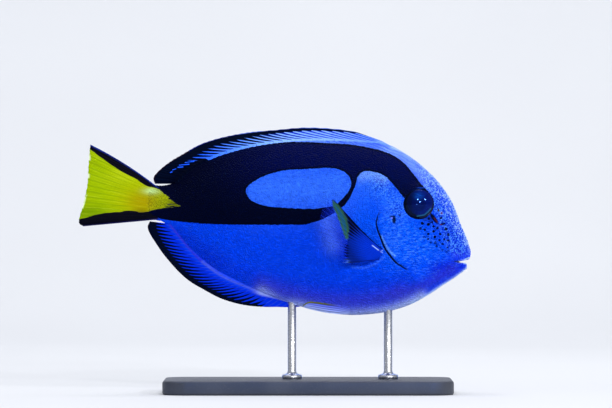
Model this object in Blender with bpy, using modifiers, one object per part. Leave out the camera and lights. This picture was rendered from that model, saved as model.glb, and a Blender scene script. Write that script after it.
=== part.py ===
"""Regal blue tang, life-size still model on a plain display stand.

Frame: +X towards the snout, +Y towards the fish's left side, +Z up. The origin lies on the
surface the stand rests on, under the middle of the model's box. The swimming pose is a little
nose-down. Design lengths below are in millimetres and are turned into metres by MM.
"""
import math

import bmesh
import bpy
import numpy as np
from mathutils import Matrix, Vector

MM = 0.001

# ------------------------------------------------------------------ driving dimensions
GAP = 0.3                  # clearance between pieces that meet
THIN_CUT = 0.15            # half of the cut that parts one piece of the body from the next

# Sections of the body from the tail root to the lips. Each row holds the point on the back
# (x, z), the widest point of the flank (x, z, half width) and the point on the keel (x, z).
SECTIONS = [
    ("tail_root", -43.5, 74.8, -43.5, 68.7, 1.3, -43.5, 62.3),
    ("stalk", -39.9, 74.8, -39.5, 68.4, 2.7, -40.2, 61.5),
    ("stalk_front", -36.3, 75.8, -36.3, 68.0, 3.5, -37.4, 59.3),
    ("dorsal_end", -31.2, 80.5, -31.2, 67.7, 4.6, -31.9, 52.7),
    ("hind_loin", -24.0, 84.6, -24.0, 67.0, 5.8, -24.0, 45.7),
    ("loin", -13.2, 88.2, -13.2, 65.9, 7.2, -13.2, 39.6),
    ("anal_front", -1.0, 90.5, -1.0, 64.8, 8.5, -1.0, 34.5),
    ("vent", 10.9, 91.4, 10.9, 64.4, 9.3, 10.5, 30.8),
    ("belly", 21.7, 91.4, 21.7, 64.4, 9.7, 21.7, 28.5),
    ("shoulder", 31.4, 90.8, 31.4, 64.8, 9.7, 31.4, 28.1),
    ("gill", 40.1, 89.8, 39.3, 64.8, 9.3, 40.8, 29.3),
    ("nape", 47.3, 86.1, 45.8, 64.4, 8.6, 48.7, 31.75),
    ("eye", 53.9, 81.1, 51.6, 63.4, 7.7, 55.5, 35.35),
    ("brow", 59.5, 75.3, 56.2, 60.1, 6.5, 60.9, 38.95),
    ("cheek", 64.0, 68.5, 60.0, 56.5, 5.1, 64.5, 41.2),
    ("muzzle", 67.0, 60.8, 62.7, 52.5, 3.7, 66.9, 43.0),
    ("snout", 69.8, 53.8, 64.5, 49.0, 2.6, 68.2, 44.0),
    ("lip", 70.6, 50.2, 65.1, 47.4, 2.0, 69.2, 45.1),
    ("lip_edge", 70.1, 48.3, 65.4, 47.1, 1.6, 69.1, 46.7),
]
MOUTH_DEPTH = (66.6, 47.35)         # the mouth closes here
BACK_POWER, KEEL_POWER = 1.72, 1.92  # how sharp the back and the keel are; 2 is an ellipse
SECTION_STEPS, GIRTH_STEPS = 44, 26

# Median fins, as rays. Each row: where a ray leaves the body (x, z), its length, and its lean
# above the horizontal towards the tail, in degrees. Both fins are laid back, half folded.
DORSAL_RAYS = [
    (42.6, 88.5, 4.3, 29), (40.6, 89.5, 7.4, 24), (37.9, 90.2, 11.0, 22), (30.7, 90.9, 12.3, 21), (21.7, 91.4, 12.2, 20),
    (10.9, 91.4, 11.3, 17), (-1.0, 90.5, 11.0, 16), (-13.2, 88.2, 12.3, 9), (-24.0, 84.6, 10.2, 4.5),
    (-30.5, 80.8, 8.8, 9), (-34.1, 77.8, 8.4, 11), (-35.5, 76.4, 8.2, 7), (-36.2, 75.6, 6.4, 1),
]
ANAL_RAYS = [
    (5.4, 33.4, 4.9, -30), (2.6, 34.2, 6.0, -33), (0.1, 35.2, 8.3, -29), (-3.1, 36.2, 11.5, -20), (-6.8, 37.4, 14.0, -12), (-11.4, 39.1, 14.5, -7), (-16.1, 41.0, 14.6, -3), (-20.8, 43.5, 14.4, 3),
    (-26.2, 47.5, 13.8, 9), (-30.5, 52.0, 12.7, 10), (-33.8, 55.8, 11.4, 9), (-36.1, 58.7, 9.7, 7), (-38.4, 61.0, 6.5, 6),
]
CAUDAL_RAYS = [
    (-43.3, 74.8, 27.3, 32.2), (-42.0, 72.0, 27.2, 23), (-41.7, 69.1, 26.5, 13.5), (-42.0, 66.0, 27.0, 5), (-43.2, 63.2, 27.4, -3),
    (-43.5, 62.4, 25.6, -5.2),
]
MEDIAN_ROOT, MEDIAN_EDGE = 0.80, 0.30   # half thickness of the median fins at root and edge
CAUDAL_ROOT, CAUDAL_EDGE = 0.85, 0.30
MEDIAN_BURIED = 2.2                     # depth of fin root that the body swallows

# Pectoral fin: root (x, z), ray length and lean seen from the side, and how far the tip
# stands out from the flank.
PECTORAL_RAYS = [
    (39.5, 51.2, 26.3, 45.0, 12.0), (39.3, 50.6, 26.9, 33.5, 13.0), (39.0, 49.8, 23.8, 20.0, 12.0),
    (38.6, 48.9, 19.4, 9.0, 9.0), (38.2, 48.1, 13.1, -7.0, 5.5),
]
PECTORAL_BOW = 1.3                      # sag of the leading rays
PECTORAL_THICK = 0.6

PELVIC_BASE, PELVIC_TIP = 27.2, 10.0    # x of the folded pelvic fin's two ends
PELVIC_DEPTH = 3.0                      # how far it reaches up the belly
PELVIC_THICK = 0.6

EYE_AT, EYE_RADII = (51.6, 5.3, 68.0), (6.1, 3.5, 6.0)
EYE_TURN = 9.0                          # degrees that the eye looks forwards
SPINE_ROOT, SPINE_LENGTH = (-39.0, 68.3), 3.6   # lancet of the tail stalk

# Lines along which the body is parted, seen from the side.
STALK_CUT = [(-33.4, 96.0), (-33.2, 78.0), (-32.2, 68.0), (-33.0, 57.0), (-33.6, 40.0)]
GILL_CUT = [
    (41.9, 96.0), (39.7, 82.1), (38.6, 73.1), (38.1, 66.4), (37.0, 63.4), (36.7, 60.5), (38.0, 55.8),
    (40.0, 51.1), (43.0, 47.2), (47.4, 44.2), (51.6, 41.8), (54.1, 37.8), (55.6, 24.0),
]
GILL_COVER = [(36.0, 68.6), (42.2, 67.6), (44.3, 64.4), (44.4, 58.7), (45.4, 52.9), (47.3, 48.6), (47.6, 45.4), (45.0, 42.0)]
GILL_COVER_INNER = 6.0                  # the cover is the shell outside this half width
JAW = [(70.0, 47.3), (67.4, 47.25), (64.7, 46.7), (62.9, 44.9), (61.9, 42.0), (61.0, 36.0)]

BASE_X, BASE_SIZE, BASE_CORNER = 12.0, (104.0, 56.0, 5.0), 9.0
RODS = {"stand_rod_rear": 6.2, "stand_rod_front": 40.8}
ROD_RADIUS, COLLAR_RADIUS, COLLAR_HEIGHT = 1.5, 3.6, 1.6

COLOURS = {
    "skin_blue": ((0.010, 0.085, 0.80), 0.42, 0.0), "skin_black": ((0.002, 0.006, 0.045), 0.40, 0.0),
    "fin_blue": ((0.02, 0.10, 0.70), 0.45, 0.0), "fin_yellow": ((0.55, 0.52, 0.004), 0.45, 0.0),
    "eye": ((0.003, 0.012, 0.07), 0.06, 0.0), "spine": ((0.75, 0.74, 0.6), 0.35, 0.0),
    "base": ((0.045, 0.047, 0.052), 0.45, 0.0), "rod": ((0.62, 0.63, 0.65), 0.28, 1.0),
}


# ------------------------------------------------------------------ helpers
def curve_through(knots, values, at):
    """Smooth curve through values at knots, read at the positions in at."""
    t, v, at = np.asarray(knots, float), np.asarray(values, float), np.asarray(at, float)
    v = v.reshape(len(t), -1)
    step = np.diff(t)[:, None]
    slope = np.diff(v, axis=0) / step
    m = np.empty_like(v)
    m[1:-1] = (slope[1:] * step[:-1] + slope[:-1] * step[1:]) / (step[1:] + step[:-1])
    m[0], m[-1] = slope[0], slope[-1]
    i = np.clip(np.searchsorted(t, at, "right") - 1, 0, len(t) - 2)
    h = step[i]
    s = ((at - t[i]) / h[:, 0])[:, None]
    return ((2 * s**3 - 3 * s**2 + 1) * v[i] + (s**3 - 2 * s**2 + s) * h * m[i]
            + (3 * s**2 - 2 * s**3) * v[i + 1] + (s**3 - s**2) * h * m[i + 1])


TABLE = np.array([row[1:] for row in SECTIONS])
_mid = TABLE[:, 2:4]
KNOTS = np.concatenate([[0.0], np.cumsum(np.maximum(np.linalg.norm(np.diff(_mid, axis=0), axis=1), 0.9))])


def section(at, grow=0.0):
    """Back, flank, half width and keel of the sections at these positions along the body."""
    v = curve_through(KNOTS, TABLE, at).copy()
    if grow:
        v[:, 1] += grow
        v[:, 6] -= grow
        v[:, 4] += grow
        ahead = np.clip((np.asarray(at) - KNOTS[-4]) / (KNOTS[-1] - KNOTS[-4]), 0, 1)
        v[:, 0] += grow * ahead
        v[:, 5] += grow * ahead
    return v


def girth_point(v, turn):
    """Point of one section at an angle from the back (0) round the left flank to the keel (pi)."""
    c, s = math.cos(turn), math.sin(turn)
    up = c >= 0
    power = BACK_POWER if up else KEEL_POWER
    high = abs(c) ** (2 / power)
    wide = math.copysign(abs(s) ** (2 / power), s)
    end_x, end_z = (v[0], v[1]) if up else (v[5], v[6])
    return (v[2] + (end_x - v[2]) * high**1.7, v[4] * wide, v[3] + (end_z - v[3]) * high)


def flank_at(x, z):
    """Half width of the body at a point seen from the side."""
    rows = section(np.linspace(KNOTS[0], KNOTS[-1], 400))
    best, found = 1e9, 0.0
    for v in rows[np.abs(rows[:, 2] - x) < 8]:
        for k in range(1, 60):
            p = girth_point(v, math.pi * k / 60)
            d = (p[0] - x) ** 2 + (p[2] - z) ** 2
            if d < best:
                best, found = d, p[1]
    return found


def material(name):
    found = bpy.data.materials.get(name)
    if found:
        return found
    colour, rough, metal = COLOURS[name]
    made = bpy.data.materials.new(name)
    made.use_nodes = True
    shader = made.node_tree.nodes["Principled BSDF"]
    shader.inputs["Base Color"].default_value = (*colour, 1)
    shader.inputs["Roughness"].default_value = rough
    shader.inputs["Metallic"].default_value = metal
    return made


def put(name, bm, look=None, cutter=False, smooth=True):
    bmesh.ops.recalc_face_normals(bm, faces=bm.faces)
    mesh = bpy.data.meshes.new(name)
    bm.to_mesh(mesh)
    bm.free()
    mesh.transform(Matrix.Scale(MM, 4))
    if smooth:
        mesh.shade_smooth()
        mesh.set_sharp_from_angle(angle=math.radians(40))
    made = bpy.data.objects.new(name, mesh)
    (cutters if cutter else pieces).objects.link(made)
    if cutter:
        made.hide_render = True
        made.display_type = "WIRE"
    else:
        made.data.materials.append(material(look))
    return made


def loft(rings, first=None, last=None):
    """Closed surface through rings of equal count, each end closed flat or onto a point."""
    bm = bmesh.new()
    made = [[bm.verts.new(p) for p in ring] for ring in rings]
    for a, b in zip(made, made[1:]):
        for k in range(len(a)):
            n = (k + 1) % len(a)
            bm.faces.new((a[k], a[n], b[n], b[k]))
    for ring, point in ((made[0], first), (made[-1], last)):
        if point is None:
            bm.faces.new(ring)
        else:
            tip = bm.verts.new(point)
            for k in range(len(ring)):
                bm.faces.new((ring[k], ring[(k + 1) % len(ring)], tip))
    return bm


def body_bmesh(grow=0.0, start=0.0):
    at = np.linspace(KNOTS[0], KNOTS[-1], SECTION_STEPS)
    rows = section(at, grow)
    rings = [[girth_point(v, 2 * math.pi * k / GIRTH_STEPS) for k in range(GIRTH_STEPS)] for v in rows]
    rings[0] = [(p[0] - grow, p[1], p[2]) for p in rings[0]]
    return loft(rings, None, (MOUTH_DEPTH[0] + 2 * grow, 0.0, MOUTH_DEPTH[1]))


def prism(outline, low, high):
    """Upright block over an outline drawn in the side view, from y = low to y = high."""
    bm = bmesh.new()
    face = bm.faces.new([bm.verts.new((x, low, z)) for x, z in outline])
    out = bmesh.ops.extrude_face_region(bm, geom=[face])
    bmesh.ops.translate(bm, vec=(0, high - low, 0), verts=[v for v in out["geom"] if isinstance(v, bmesh.types.BMVert)])
    return bm


def boolean(target, other, operation):
    m = target.modifiers.new(f"{operation.lower()}_{other.name}", "BOOLEAN")
    m.object = other
    m.operation = operation
    m.solver = "EXACT"


def smooth_line(points, steps=4):
    n = len(points)
    return [tuple(p) for p in curve_through(np.arange(n), points, np.linspace(0, n - 1, (n - 1) * steps + 1))]


def shifted(line, dx):
    return [(x + dx, z) for x, z in line]


# ------------------------------------------------------------------ start clean
for old in list(bpy.data.objects):
    bpy.data.objects.remove(old, do_unlink=True)
pieces = bpy.data.collections.new("regal_blue_tang")
cutters = bpy.data.collections.new("cutters")
for c in (pieces, cutters):
    bpy.context.scene.collection.children.link(c)
cutters.hide_render = True

# ------------------------------------------------------------------ cutters of the body
grown = put("cut_body_grown", body_bmesh(GAP), cutter=True)
gill_line, stalk_line = smooth_line(GILL_CUT), smooth_line(STALK_CUT)
FAR = 140.0
head_side = put("cut_head_region", prism(shifted(gill_line, THIN_CUT) + [(FAR, 24.0), (FAR, 96.0)], -30, 30), cutter=True)
trunk_side = put("cut_trunk_region", prism(shifted(gill_line, -THIN_CUT) + shifted(stalk_line, THIN_CUT)[::-1], -30, 30), cutter=True)
stalk_side = put("cut_stalk_region", prism(shifted(stalk_line, -THIN_CUT) + [(-FAR, 40.0), (-FAR, 96.0)], -30, 30), cutter=True)
jaw_line = smooth_line(JAW, 3)
jaw_cut = put("cut_jaw_region", prism([(80.0, JAW[0][1])] + jaw_line + [(80.0, 34.0)], -30, 30), cutter=True)
room_line = [(x - GAP, z + GAP) for x, z in jaw_line]
jaw_room = put("cut_jaw_room", prism([(81.0, room_line[0][1])] + room_line + [(81.0, 34.0)], -31, 31), cutter=True)

# ------------------------------------------------------------------ head, gill covers, jaw
head = put("head", body_bmesh(), "skin_blue")
boolean(head, head_side, "INTERSECT")
boolean(head, jaw_room, "DIFFERENCE")
cover_line = smooth_line(GILL_COVER, 3)
cover_line = [(25.0, cover_line[0][1])] + cover_line + [(25.0, cover_line[-1][1])]
room_line = [(x, z + (GAP if i < 4 else -GAP if i > len(cover_line) - 3 else 0.0)) for i, (x, z) in enumerate(shifted(cover_line, GAP))]
for side, word in ((-1, "right"), (1, "left")):
    lo, hi = sorted((side * GILL_COVER_INNER, side * 30.0))
    block = put(f"cut_gill_cover_{word}", prism(cover_line, lo, hi), cutter=True)
    lo, hi = sorted((side * (GILL_COVER_INNER - GAP), side * 31.0))
    room = put(f"cut_gill_room_{word}", prism(room_line, lo, hi), cutter=True)
    boolean(head, room, "DIFFERENCE")
    cover = put(f"gill_cover_{word}", body_bmesh(), "skin_blue")
    boolean(cover, head_side, "INTERSECT")
    boolean(cover, block, "INTERSECT")
jaw = put("lower_jaw", body_bmesh(), "skin_blue")
boolean(jaw, jaw_cut, "INTERSECT")

# ------------------------------------------------------------------ eyes in their sockets
for side, word in ((-1, "right"), (1, "left")):
    place = (Matrix.Translation((EYE_AT[0], side * EYE_AT[1], EYE_AT[2])) @ Matrix.Rotation(math.radians(-side * EYE_TURN), 4, "Z"))
    for grow, name in ((0.0, f"eye_{word}"), (GAP, f"cut_socket_{word}")):
        bm = bmesh.new()
        bmesh.ops.create_uvsphere(bm, u_segments=20, v_segments=12, radius=1.0)
        bmesh.ops.rotate(bm, cent=(0, 0, 0), matrix=Matrix.Rotation(math.radians(90), 3, "X"), verts=bm.verts)
        bmesh.ops.scale(bm, vec=tuple(r + grow for r in EYE_RADII), verts=bm.verts)
        bmesh.ops.transform(bm, matrix=place, verts=bm.verts)
        made = put(name, bm, "eye", cutter=bool(grow))
        if grow:
            boolean(head, made, "DIFFERENCE")

# ------------------------------------------------------------------ trunk and tail stalk
trunk = put("trunk", body_bmesh(), "skin_blue")
boolean(trunk, trunk_side, "INTERSECT")
stalk = put("tail_stalk", body_bmesh(), "skin_black")
boolean(stalk, stalk_side, "INTERSECT")


# ------------------------------------------------------------------ median fins
def ray_tip(x, z, length, lean):
    a = math.radians(lean)
    return x - length * math.cos(a), z + length * math.sin(a)


def median_fin(name, rays, inward, count, look, root_half, edge_half):
    """A tapering blade through the rays. inward is the direction in which the body lies."""
    n = len(rays)
    rows = curve_through(np.arange(n), rays, np.linspace(0, n - 1, count))
    rings = []
    for x, z, length, lean in rows:
        tx, tz = ray_tip(x, z, length, lean)
        stops = [(x + inward[0] * MEDIAN_BURIED, z + inward[1] * MEDIAN_BURIED, root_half)]
        for v in (0.0, 0.35, 0.7, 1.0):
            stops.append((x + (tx - x) * v, z + (tz - z) * v, root_half + (edge_half - root_half) * v**0.8))
        left = [(a, h, b) for a, b, h in stops]
        right = [(a, -h, b) for a, b, h in reversed(stops)]
        rings.append(left + right)
    made = put(name, loft(rings), look)
    boolean(made, grown, "DIFFERENCE")
    return made


median_fin("dorsal_fin", DORSAL_RAYS, (0.25, -0.97), 34, "fin_blue", MEDIAN_ROOT, MEDIAN_EDGE)
median_fin("anal_fin", ANAL_RAYS, (0.45, 0.89), 30, "fin_blue", MEDIAN_ROOT, MEDIAN_EDGE)
median_fin("caudal_fin", CAUDAL_RAYS, (1.0, 0.0), 17, "fin_yellow", CAUDAL_ROOT, CAUDAL_EDGE)


# ------------------------------------------------------------------ paired fins
def sheet_bmesh(grid):
    bm = bmesh.new()
    made = [[bm.verts.new(p) for p in row] for row in grid]
    for a, b in zip(made, made[1:]):
        for k in range(len(a) - 1):
            bm.faces.new((a[k], a[k + 1], b[k + 1], b[k]))
    return bm


def pectoral_grid(side, across=11, along=8):
    rows = curve_through(np.arange(len(PECTORAL_RAYS)), PECTORAL_RAYS, np.linspace(0, len(PECTORAL_RAYS) - 1, across))
    root_y = flank_at(PECTORAL_RAYS[2][0], PECTORAL_RAYS[2][1])
    grid = []
    for i, (x, z, length, lean, out) in enumerate(rows):
        lead = 1 - i / (across - 1)
        tx, tz = ray_tip(x, z, length, lean)
        line = []
        for k in range(along):
            v = k / (along - 1)
            sag = PECTORAL_BOW * lead * 4 * v * (1 - v) ** 1.6
            y = root_y - 1.2 + (out + 1.2) * (1 - (1 - v) ** 1.35)
            line.append((x + (tx - x) * v, side * y, z + (tz - z) * v - sag))
        grid.append(line)
    return grid


def pelvic_grid(side, along=13, across=6):
    at = np.linspace(KNOTS[6], KNOTS[10], 200)
    rows = section(at)
    grid = []
    for i in range(along):
        p = i / (along - 1)
        x = PELVIC_BASE + (PELVIC_TIP - PELVIC_BASE) * p
        v = rows[int(np.argmin(np.abs(rows[:, 5] - x)))]
        reach = PELVIC_DEPTH * (0.35 + 0.65 * math.sin(math.pi * min(1.0, p * 0.68 + 0.08))) * (1 - 0.85 * p**6)
        line = []
        for k in range(across):
            q = k / (across - 1)
            height = 0.12 + 0.75 * (1 - p) ** 3 + reach * q
            turn = math.pi - math.acos(min(1.0, (1 - height / (v[3] - v[6])) ** (KEEL_POWER / 2)))
            a, b = Vector(girth_point(v, turn - 0.02)), Vector(girth_point(v, turn))
            tangent = (a - b).normalized()
            normal = Vector((0.0, tangent.z, -tangent.y)).normalized()
            if normal.y < 0:
                normal.negate()
            point = b + normal * (GAP + PELVIC_THICK / 2 + 0.05)
            line.append((point.x, side * max(point.y, 0.62), point.z))
        grid.append(line)
    return grid


for side, word in ((-1, "right"), (1, "left")):
    fin = put(f"pectoral_fin_{word}", sheet_bmesh(pectoral_grid(side)), "fin_blue")
    solid = fin.modifiers.new("thickness", "SOLIDIFY")
    solid.thickness, solid.offset = PECTORAL_THICK * MM, 0.0
    boolean(fin, grown, "DIFFERENCE")
    pelvic = put(f"pelvic_fin_{word}", sheet_bmesh(pelvic_grid(side)), "fin_blue")
    solid = pelvic.modifiers.new("thickness", "SOLIDIFY")
    solid.thickness, solid.offset = PELVIC_THICK * MM, 0.0

# ------------------------------------------------------------------ lancets of the tail stalk
for side, word in ((-1, "right"), (1, "left")):
    rings = []
    for k in range(9):
        p = k / 8
        x = SPINE_ROOT[0] + SPINE_LENGTH * p
        z = SPINE_ROOT[1] + 0.25 * math.sin(math.pi * p)
        out = flank_at(x, z) + GAP + 0.36
        half = 0.52 * (1 - p**2.2) + 0.06
        ring = [(x, side * (out + 0.30 * math.cos(a) * (half / 0.58)), z + half * math.sin(a)) for a in np.linspace(0, 2 * math.pi, 8, endpoint=False)]
        rings.append(ring)
    put(f"caudal_spine_{word}", loft(rings), "spine")

# ------------------------------------------------------------------ display stand
bm = bmesh.new()
bmesh.ops.create_cube(bm, size=1.0)
bmesh.ops.scale(bm, vec=BASE_SIZE, verts=bm.verts)
bmesh.ops.translate(bm, vec=(BASE_X, 0, BASE_SIZE[2] / 2), verts=bm.verts)
upright = [e for e in bm.edges if abs(e.verts[0].co.z - e.verts[1].co.z) > 1]
bmesh.ops.bevel(bm, geom=upright, offset=BASE_CORNER, segments=6, profile=0.5, affect="EDGES")
base = put("stand_base", bm, "base")
edge = base.modifiers.new("eased_edges", "BEVEL")
edge.width, edge.segments, edge.limit_method, edge.angle_limit = 0.8 * MM, 2, "ANGLE", math.radians(50)

for name, x in RODS.items():
    foot = BASE_SIZE[2] + GAP
    top = 36.0
    r, c, h = ROD_RADIUS, COLLAR_RADIUS, COLLAR_HEIGHT
    profile = [(0, top), (r, top), (r, foot + h + 0.8), (r + 0.25, foot + h + 0.3), (r + 0.8, foot + h),
               (c - 0.4, foot + h), (c, foot + h - 0.4), (c, foot), (0, foot)]
    mesh = bpy.data.meshes.new(name)
    mesh.from_pydata([(a * MM, 0, b * MM) for a, b in profile], [(i, i + 1) for i in range(len(profile) - 1)], [])
    rod = bpy.data.objects.new(name, mesh)
    pieces.objects.link(rod)
    rod.location = (x * MM, 0, 0)
    rod.data.materials.append(material("rod"))
    turn = rod.modifiers.new("turned", "SCREW")
    turn.steps = turn.render_steps = 24
    turn.use_merge_vertices, turn.merge_threshold = True, 0.00001
    turn.use_smooth_shade = True
    boolean(rod, grown, "DIFFERENCE")

bpy.context.view_layer.update()
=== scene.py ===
"""Looks of the regal blue tang: skin, scales, fins, eyes, stand, light and camera.

Lengths are in millimetres until a mesh is written, and metres after that. The colour markings
are drawn on a side-view grid of 0.36 mm a step, whose origin gx() and gz() convert.
"""

import math

import bmesh
import bpy
import numpy as np
from mathutils import Matrix, Vector, kdtree


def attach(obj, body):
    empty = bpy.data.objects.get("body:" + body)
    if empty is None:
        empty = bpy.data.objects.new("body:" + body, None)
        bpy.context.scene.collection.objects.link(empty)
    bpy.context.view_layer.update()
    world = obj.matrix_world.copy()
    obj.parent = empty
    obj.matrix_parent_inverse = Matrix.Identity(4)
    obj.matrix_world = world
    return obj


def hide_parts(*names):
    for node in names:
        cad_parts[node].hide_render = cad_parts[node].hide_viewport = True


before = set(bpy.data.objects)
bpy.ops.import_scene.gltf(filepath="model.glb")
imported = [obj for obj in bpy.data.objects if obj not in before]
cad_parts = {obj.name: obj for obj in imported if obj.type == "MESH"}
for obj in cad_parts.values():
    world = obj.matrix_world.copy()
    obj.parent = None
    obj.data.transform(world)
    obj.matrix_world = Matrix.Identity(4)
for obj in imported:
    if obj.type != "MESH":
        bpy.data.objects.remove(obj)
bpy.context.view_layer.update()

MM = 0.001
rng = np.random.default_rng(20)

# ------------------------------------------------------------------ the drawing grid
STEP, GRID_X, GRID_Z = 0.36, 274.75, 141.47


def gx(px):
    return (px - GRID_X) * STEP


def gz(py):
    return GRID_Z - STEP * py


def grid_points(points):
    p = np.asarray(points, float)
    return np.stack([gx(p[:, 0]), gz(p[:, 1])], axis=1)


def smoothstep(low, high, value):
    t = np.clip((np.asarray(value, float) - low) / (high - low), 0, 1)
    return t * t * (3 - 2 * t)


def gauss(value, width):
    return np.exp(-((np.asarray(value) / width) ** 2))


def catmull(points, steps=10, closed=False):
    p = np.asarray(points, float)
    n = len(p)
    out = []
    for i in range(n if closed else n - 1):
        if closed:
            a, b, c, d = p[(i - 1) % n], p[i], p[(i + 1) % n], p[(i + 2) % n]
        else:
            b, c = p[i], p[i + 1]
            a = p[i - 1] if i > 0 else 2 * b - c
            d = p[i + 2] if i + 2 < n else 2 * c - b
        for k in range(steps):
            t = k / steps
            out.append(0.5 * (2 * b + (c - a) * t + (2 * a - 5 * b + 4 * c - d) * t**2 + (3 * b - a - 3 * c + d) * t**3))
    if not closed:
        out.append(p[-1])
    return np.array(out)


def line_distance(line, pts):
    """Distance to a polyline, the side (+1 to its left as drawn), and how far along it, 0 to 1."""
    a, b = line[:-1], line[1:]
    d = b - a
    length = np.maximum(np.einsum("ij,ij->i", d, d), 1e-12)
    run = np.concatenate([[0], np.cumsum(np.sqrt(length))])
    dist, side, along = np.empty(len(pts)), np.empty(len(pts)), np.empty(len(pts))
    for i in range(0, len(pts), 20000):
        p = pts[i : i + 20000]
        rel = p[:, None, :] - a[None]
        t = np.clip((rel * d[None]).sum(-1) / length[None], 0, 1)
        near = rel - t[..., None] * d[None]
        sq = (near**2).sum(-1)
        k = sq.argmin(1)
        row = np.arange(len(p))
        dist[i : i + 20000] = np.sqrt(sq[row, k])
        cross = d[k, 0] * rel[row, k, 1] - d[k, 1] * rel[row, k, 0]
        side[i : i + 20000] = np.sign(cross)
        along[i : i + 20000] = (run[k] + t[row, k] * (run[k + 1] - run[k])) / run[-1]
    return dist, side, along


def area_distance(outline, pts):
    """Signed distance to a closed outline, positive inside."""
    line = np.vstack([outline, outline[:1]])
    dist, _, _ = line_distance(line, pts)
    inside = np.zeros(len(pts), bool)
    x, z = pts[:, 0], pts[:, 1]
    for (x0, z0), (x1, z1) in zip(line[:-1], line[1:]):
        if z0 == z1:
            continue
        hit = (z > z0) != (z > z1)
        inside ^= hit & (x < (x1 - x0) * (z - z0) / (z1 - z0) + x0)
    return np.where(inside, dist, -dist)


def srgb(r, g, b):
    c = np.array([r, g, b], float) / 255
    return np.where(c <= 0.04045, c / 12.92, ((c + 0.055) / 1.055) ** 2.4)


# ------------------------------------------------------------------ body sections, as in the solids
SECTIONS = [
    ("tail_fade", -47.2, 74.3, -46.6, 68.8, 0.45, -47.2, 63.4),
    ("tail_root", -43.5, 74.8, -43.5, 68.7, 1.3, -43.5, 62.3),
    ("stalk", -39.9, 74.8, -39.5, 68.4, 2.7, -40.2, 61.5),
    ("stalk_front", -36.3, 75.8, -36.3, 68.0, 3.5, -37.4, 59.3),
    ("dorsal_end", -31.2, 80.5, -31.2, 67.7, 4.6, -31.9, 52.7),
    ("hind_loin", -24.0, 84.6, -24.0, 67.0, 5.8, -24.0, 45.7),
    ("loin", -13.2, 88.2, -13.2, 65.9, 7.2, -13.2, 39.6),
    ("anal_front", -1.0, 90.5, -1.0, 64.8, 8.5, -1.0, 34.5),
    ("vent", 10.9, 91.4, 10.9, 64.4, 9.3, 10.5, 30.8),
    ("belly", 21.7, 91.4, 21.7, 64.4, 9.7, 21.7, 28.5),
    ("shoulder", 31.4, 90.8, 31.4, 64.8, 9.7, 31.4, 28.1),
    ("gill", 40.1, 89.8, 39.3, 64.8, 9.3, 40.8, 29.3),
    ("nape", 47.3, 86.1, 45.8, 64.4, 8.6, 48.7, 31.75),
    ("eye", 53.9, 81.1, 51.6, 63.4, 7.7, 55.5, 35.35),
    ("brow", 59.5, 75.3, 56.2, 60.1, 6.5, 60.9, 38.95),
    ("cheek", 64.0, 68.5, 60.0, 56.5, 5.1, 64.5, 41.2),
    ("muzzle", 67.0, 60.8, 62.7, 52.5, 3.7, 66.9, 43.0),
    ("snout", 69.8, 53.8, 64.5, 49.0, 2.6, 68.2, 44.0),
    ("lip", 70.6, 50.2, 65.1, 47.4, 2.0, 69.2, 45.1),
    ("lip_edge", 70.1, 48.2, 65.4, 47.1, 1.6, 69.1, 46.7),
    ("mouth_in", 68.4, 47.65, 65.9, 47.05, 1.1, 67.7, 46.95),
    ("mouth_deep", 67.0, 47.45, 66.2, 47.1, 0.5, 66.9, 47.05),
]
BACK_POWER, KEEL_POWER = 1.72, 1.92
COAT_DEPTH = 0.10
TABLE = np.array([row[1:] for row in SECTIONS])
_mid = np.linalg.norm(np.diff(TABLE[:, 2:4], axis=0), axis=1)
KNOTS = np.concatenate([[0.0], np.cumsum(np.maximum(_mid, 0.9))])


def curve_through(knots, values, at):
    t, v, at = np.asarray(knots, float), np.asarray(values, float), np.asarray(at, float)
    v = v.reshape(len(t), -1)
    step = np.diff(t)[:, None]
    slope = np.diff(v, axis=0) / step
    m = np.empty_like(v)
    m[1:-1] = (slope[1:] * step[:-1] + slope[:-1] * step[1:]) / (step[1:] + step[:-1])
    m[0], m[-1] = slope[0], slope[-1]
    i = np.clip(np.searchsorted(t, at, "right") - 1, 0, len(t) - 2)
    h = step[i]
    s = ((at - t[i]) / h[:, 0])[:, None]
    return (2 * s**3 - 3 * s**2 + 1) * v[i] + (s**3 - 2 * s**2 + s) * h * m[i] + (3 * s**2 - 2 * s**3) * v[i + 1] + (s**3 - s**2) * h * m[i + 1]


def sections_at(at):
    v = curve_through(KNOTS, TABLE, at)
    v[:, 4] = np.maximum(v[:, 4], 0.3)
    return v


def girth(rows, turn):
    """Points of sections at angles from the back (0) to the keel (pi), on the left side."""
    c, s = np.cos(turn), np.sin(turn)
    up = c >= 0
    power = np.where(up, BACK_POWER, KEEL_POWER)
    high = np.abs(c) ** (2 / power)
    wide = np.abs(s) ** (2 / power)
    x = rows[..., 2] + (np.where(up, rows[..., 0], rows[..., 5]) - rows[..., 2]) * high**1.7
    z = rows[..., 3] + (np.where(up, rows[..., 1], rows[..., 6]) - rows[..., 3]) * high
    return np.stack([x, rows[..., 4] * wide, z], axis=-1)


def half_surface(stations, around):
    """Left half of the body as a grid, evenly spaced round each section from back to keel."""
    rows = sections_at(stations)
    turn = np.linspace(0, math.pi, 721)
    dense = girth(rows[:, None, :], turn[None, :])
    seg = np.linalg.norm(np.diff(dense, axis=1), axis=2)
    run = np.concatenate([np.zeros((len(rows), 1)), np.cumsum(seg, axis=1)], axis=1)
    q = np.linspace(0, 1, around + 1)
    out = np.empty((len(rows), around + 1, 3))
    for i in range(len(rows)):
        for k in range(3):
            out[i, :, k] = np.interp(q * run[i, -1], run[i], dense[i, :, k])
    out[:, 0, 1] = out[:, -1, 1] = 0.0
    return out, run[:, -1]


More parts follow.
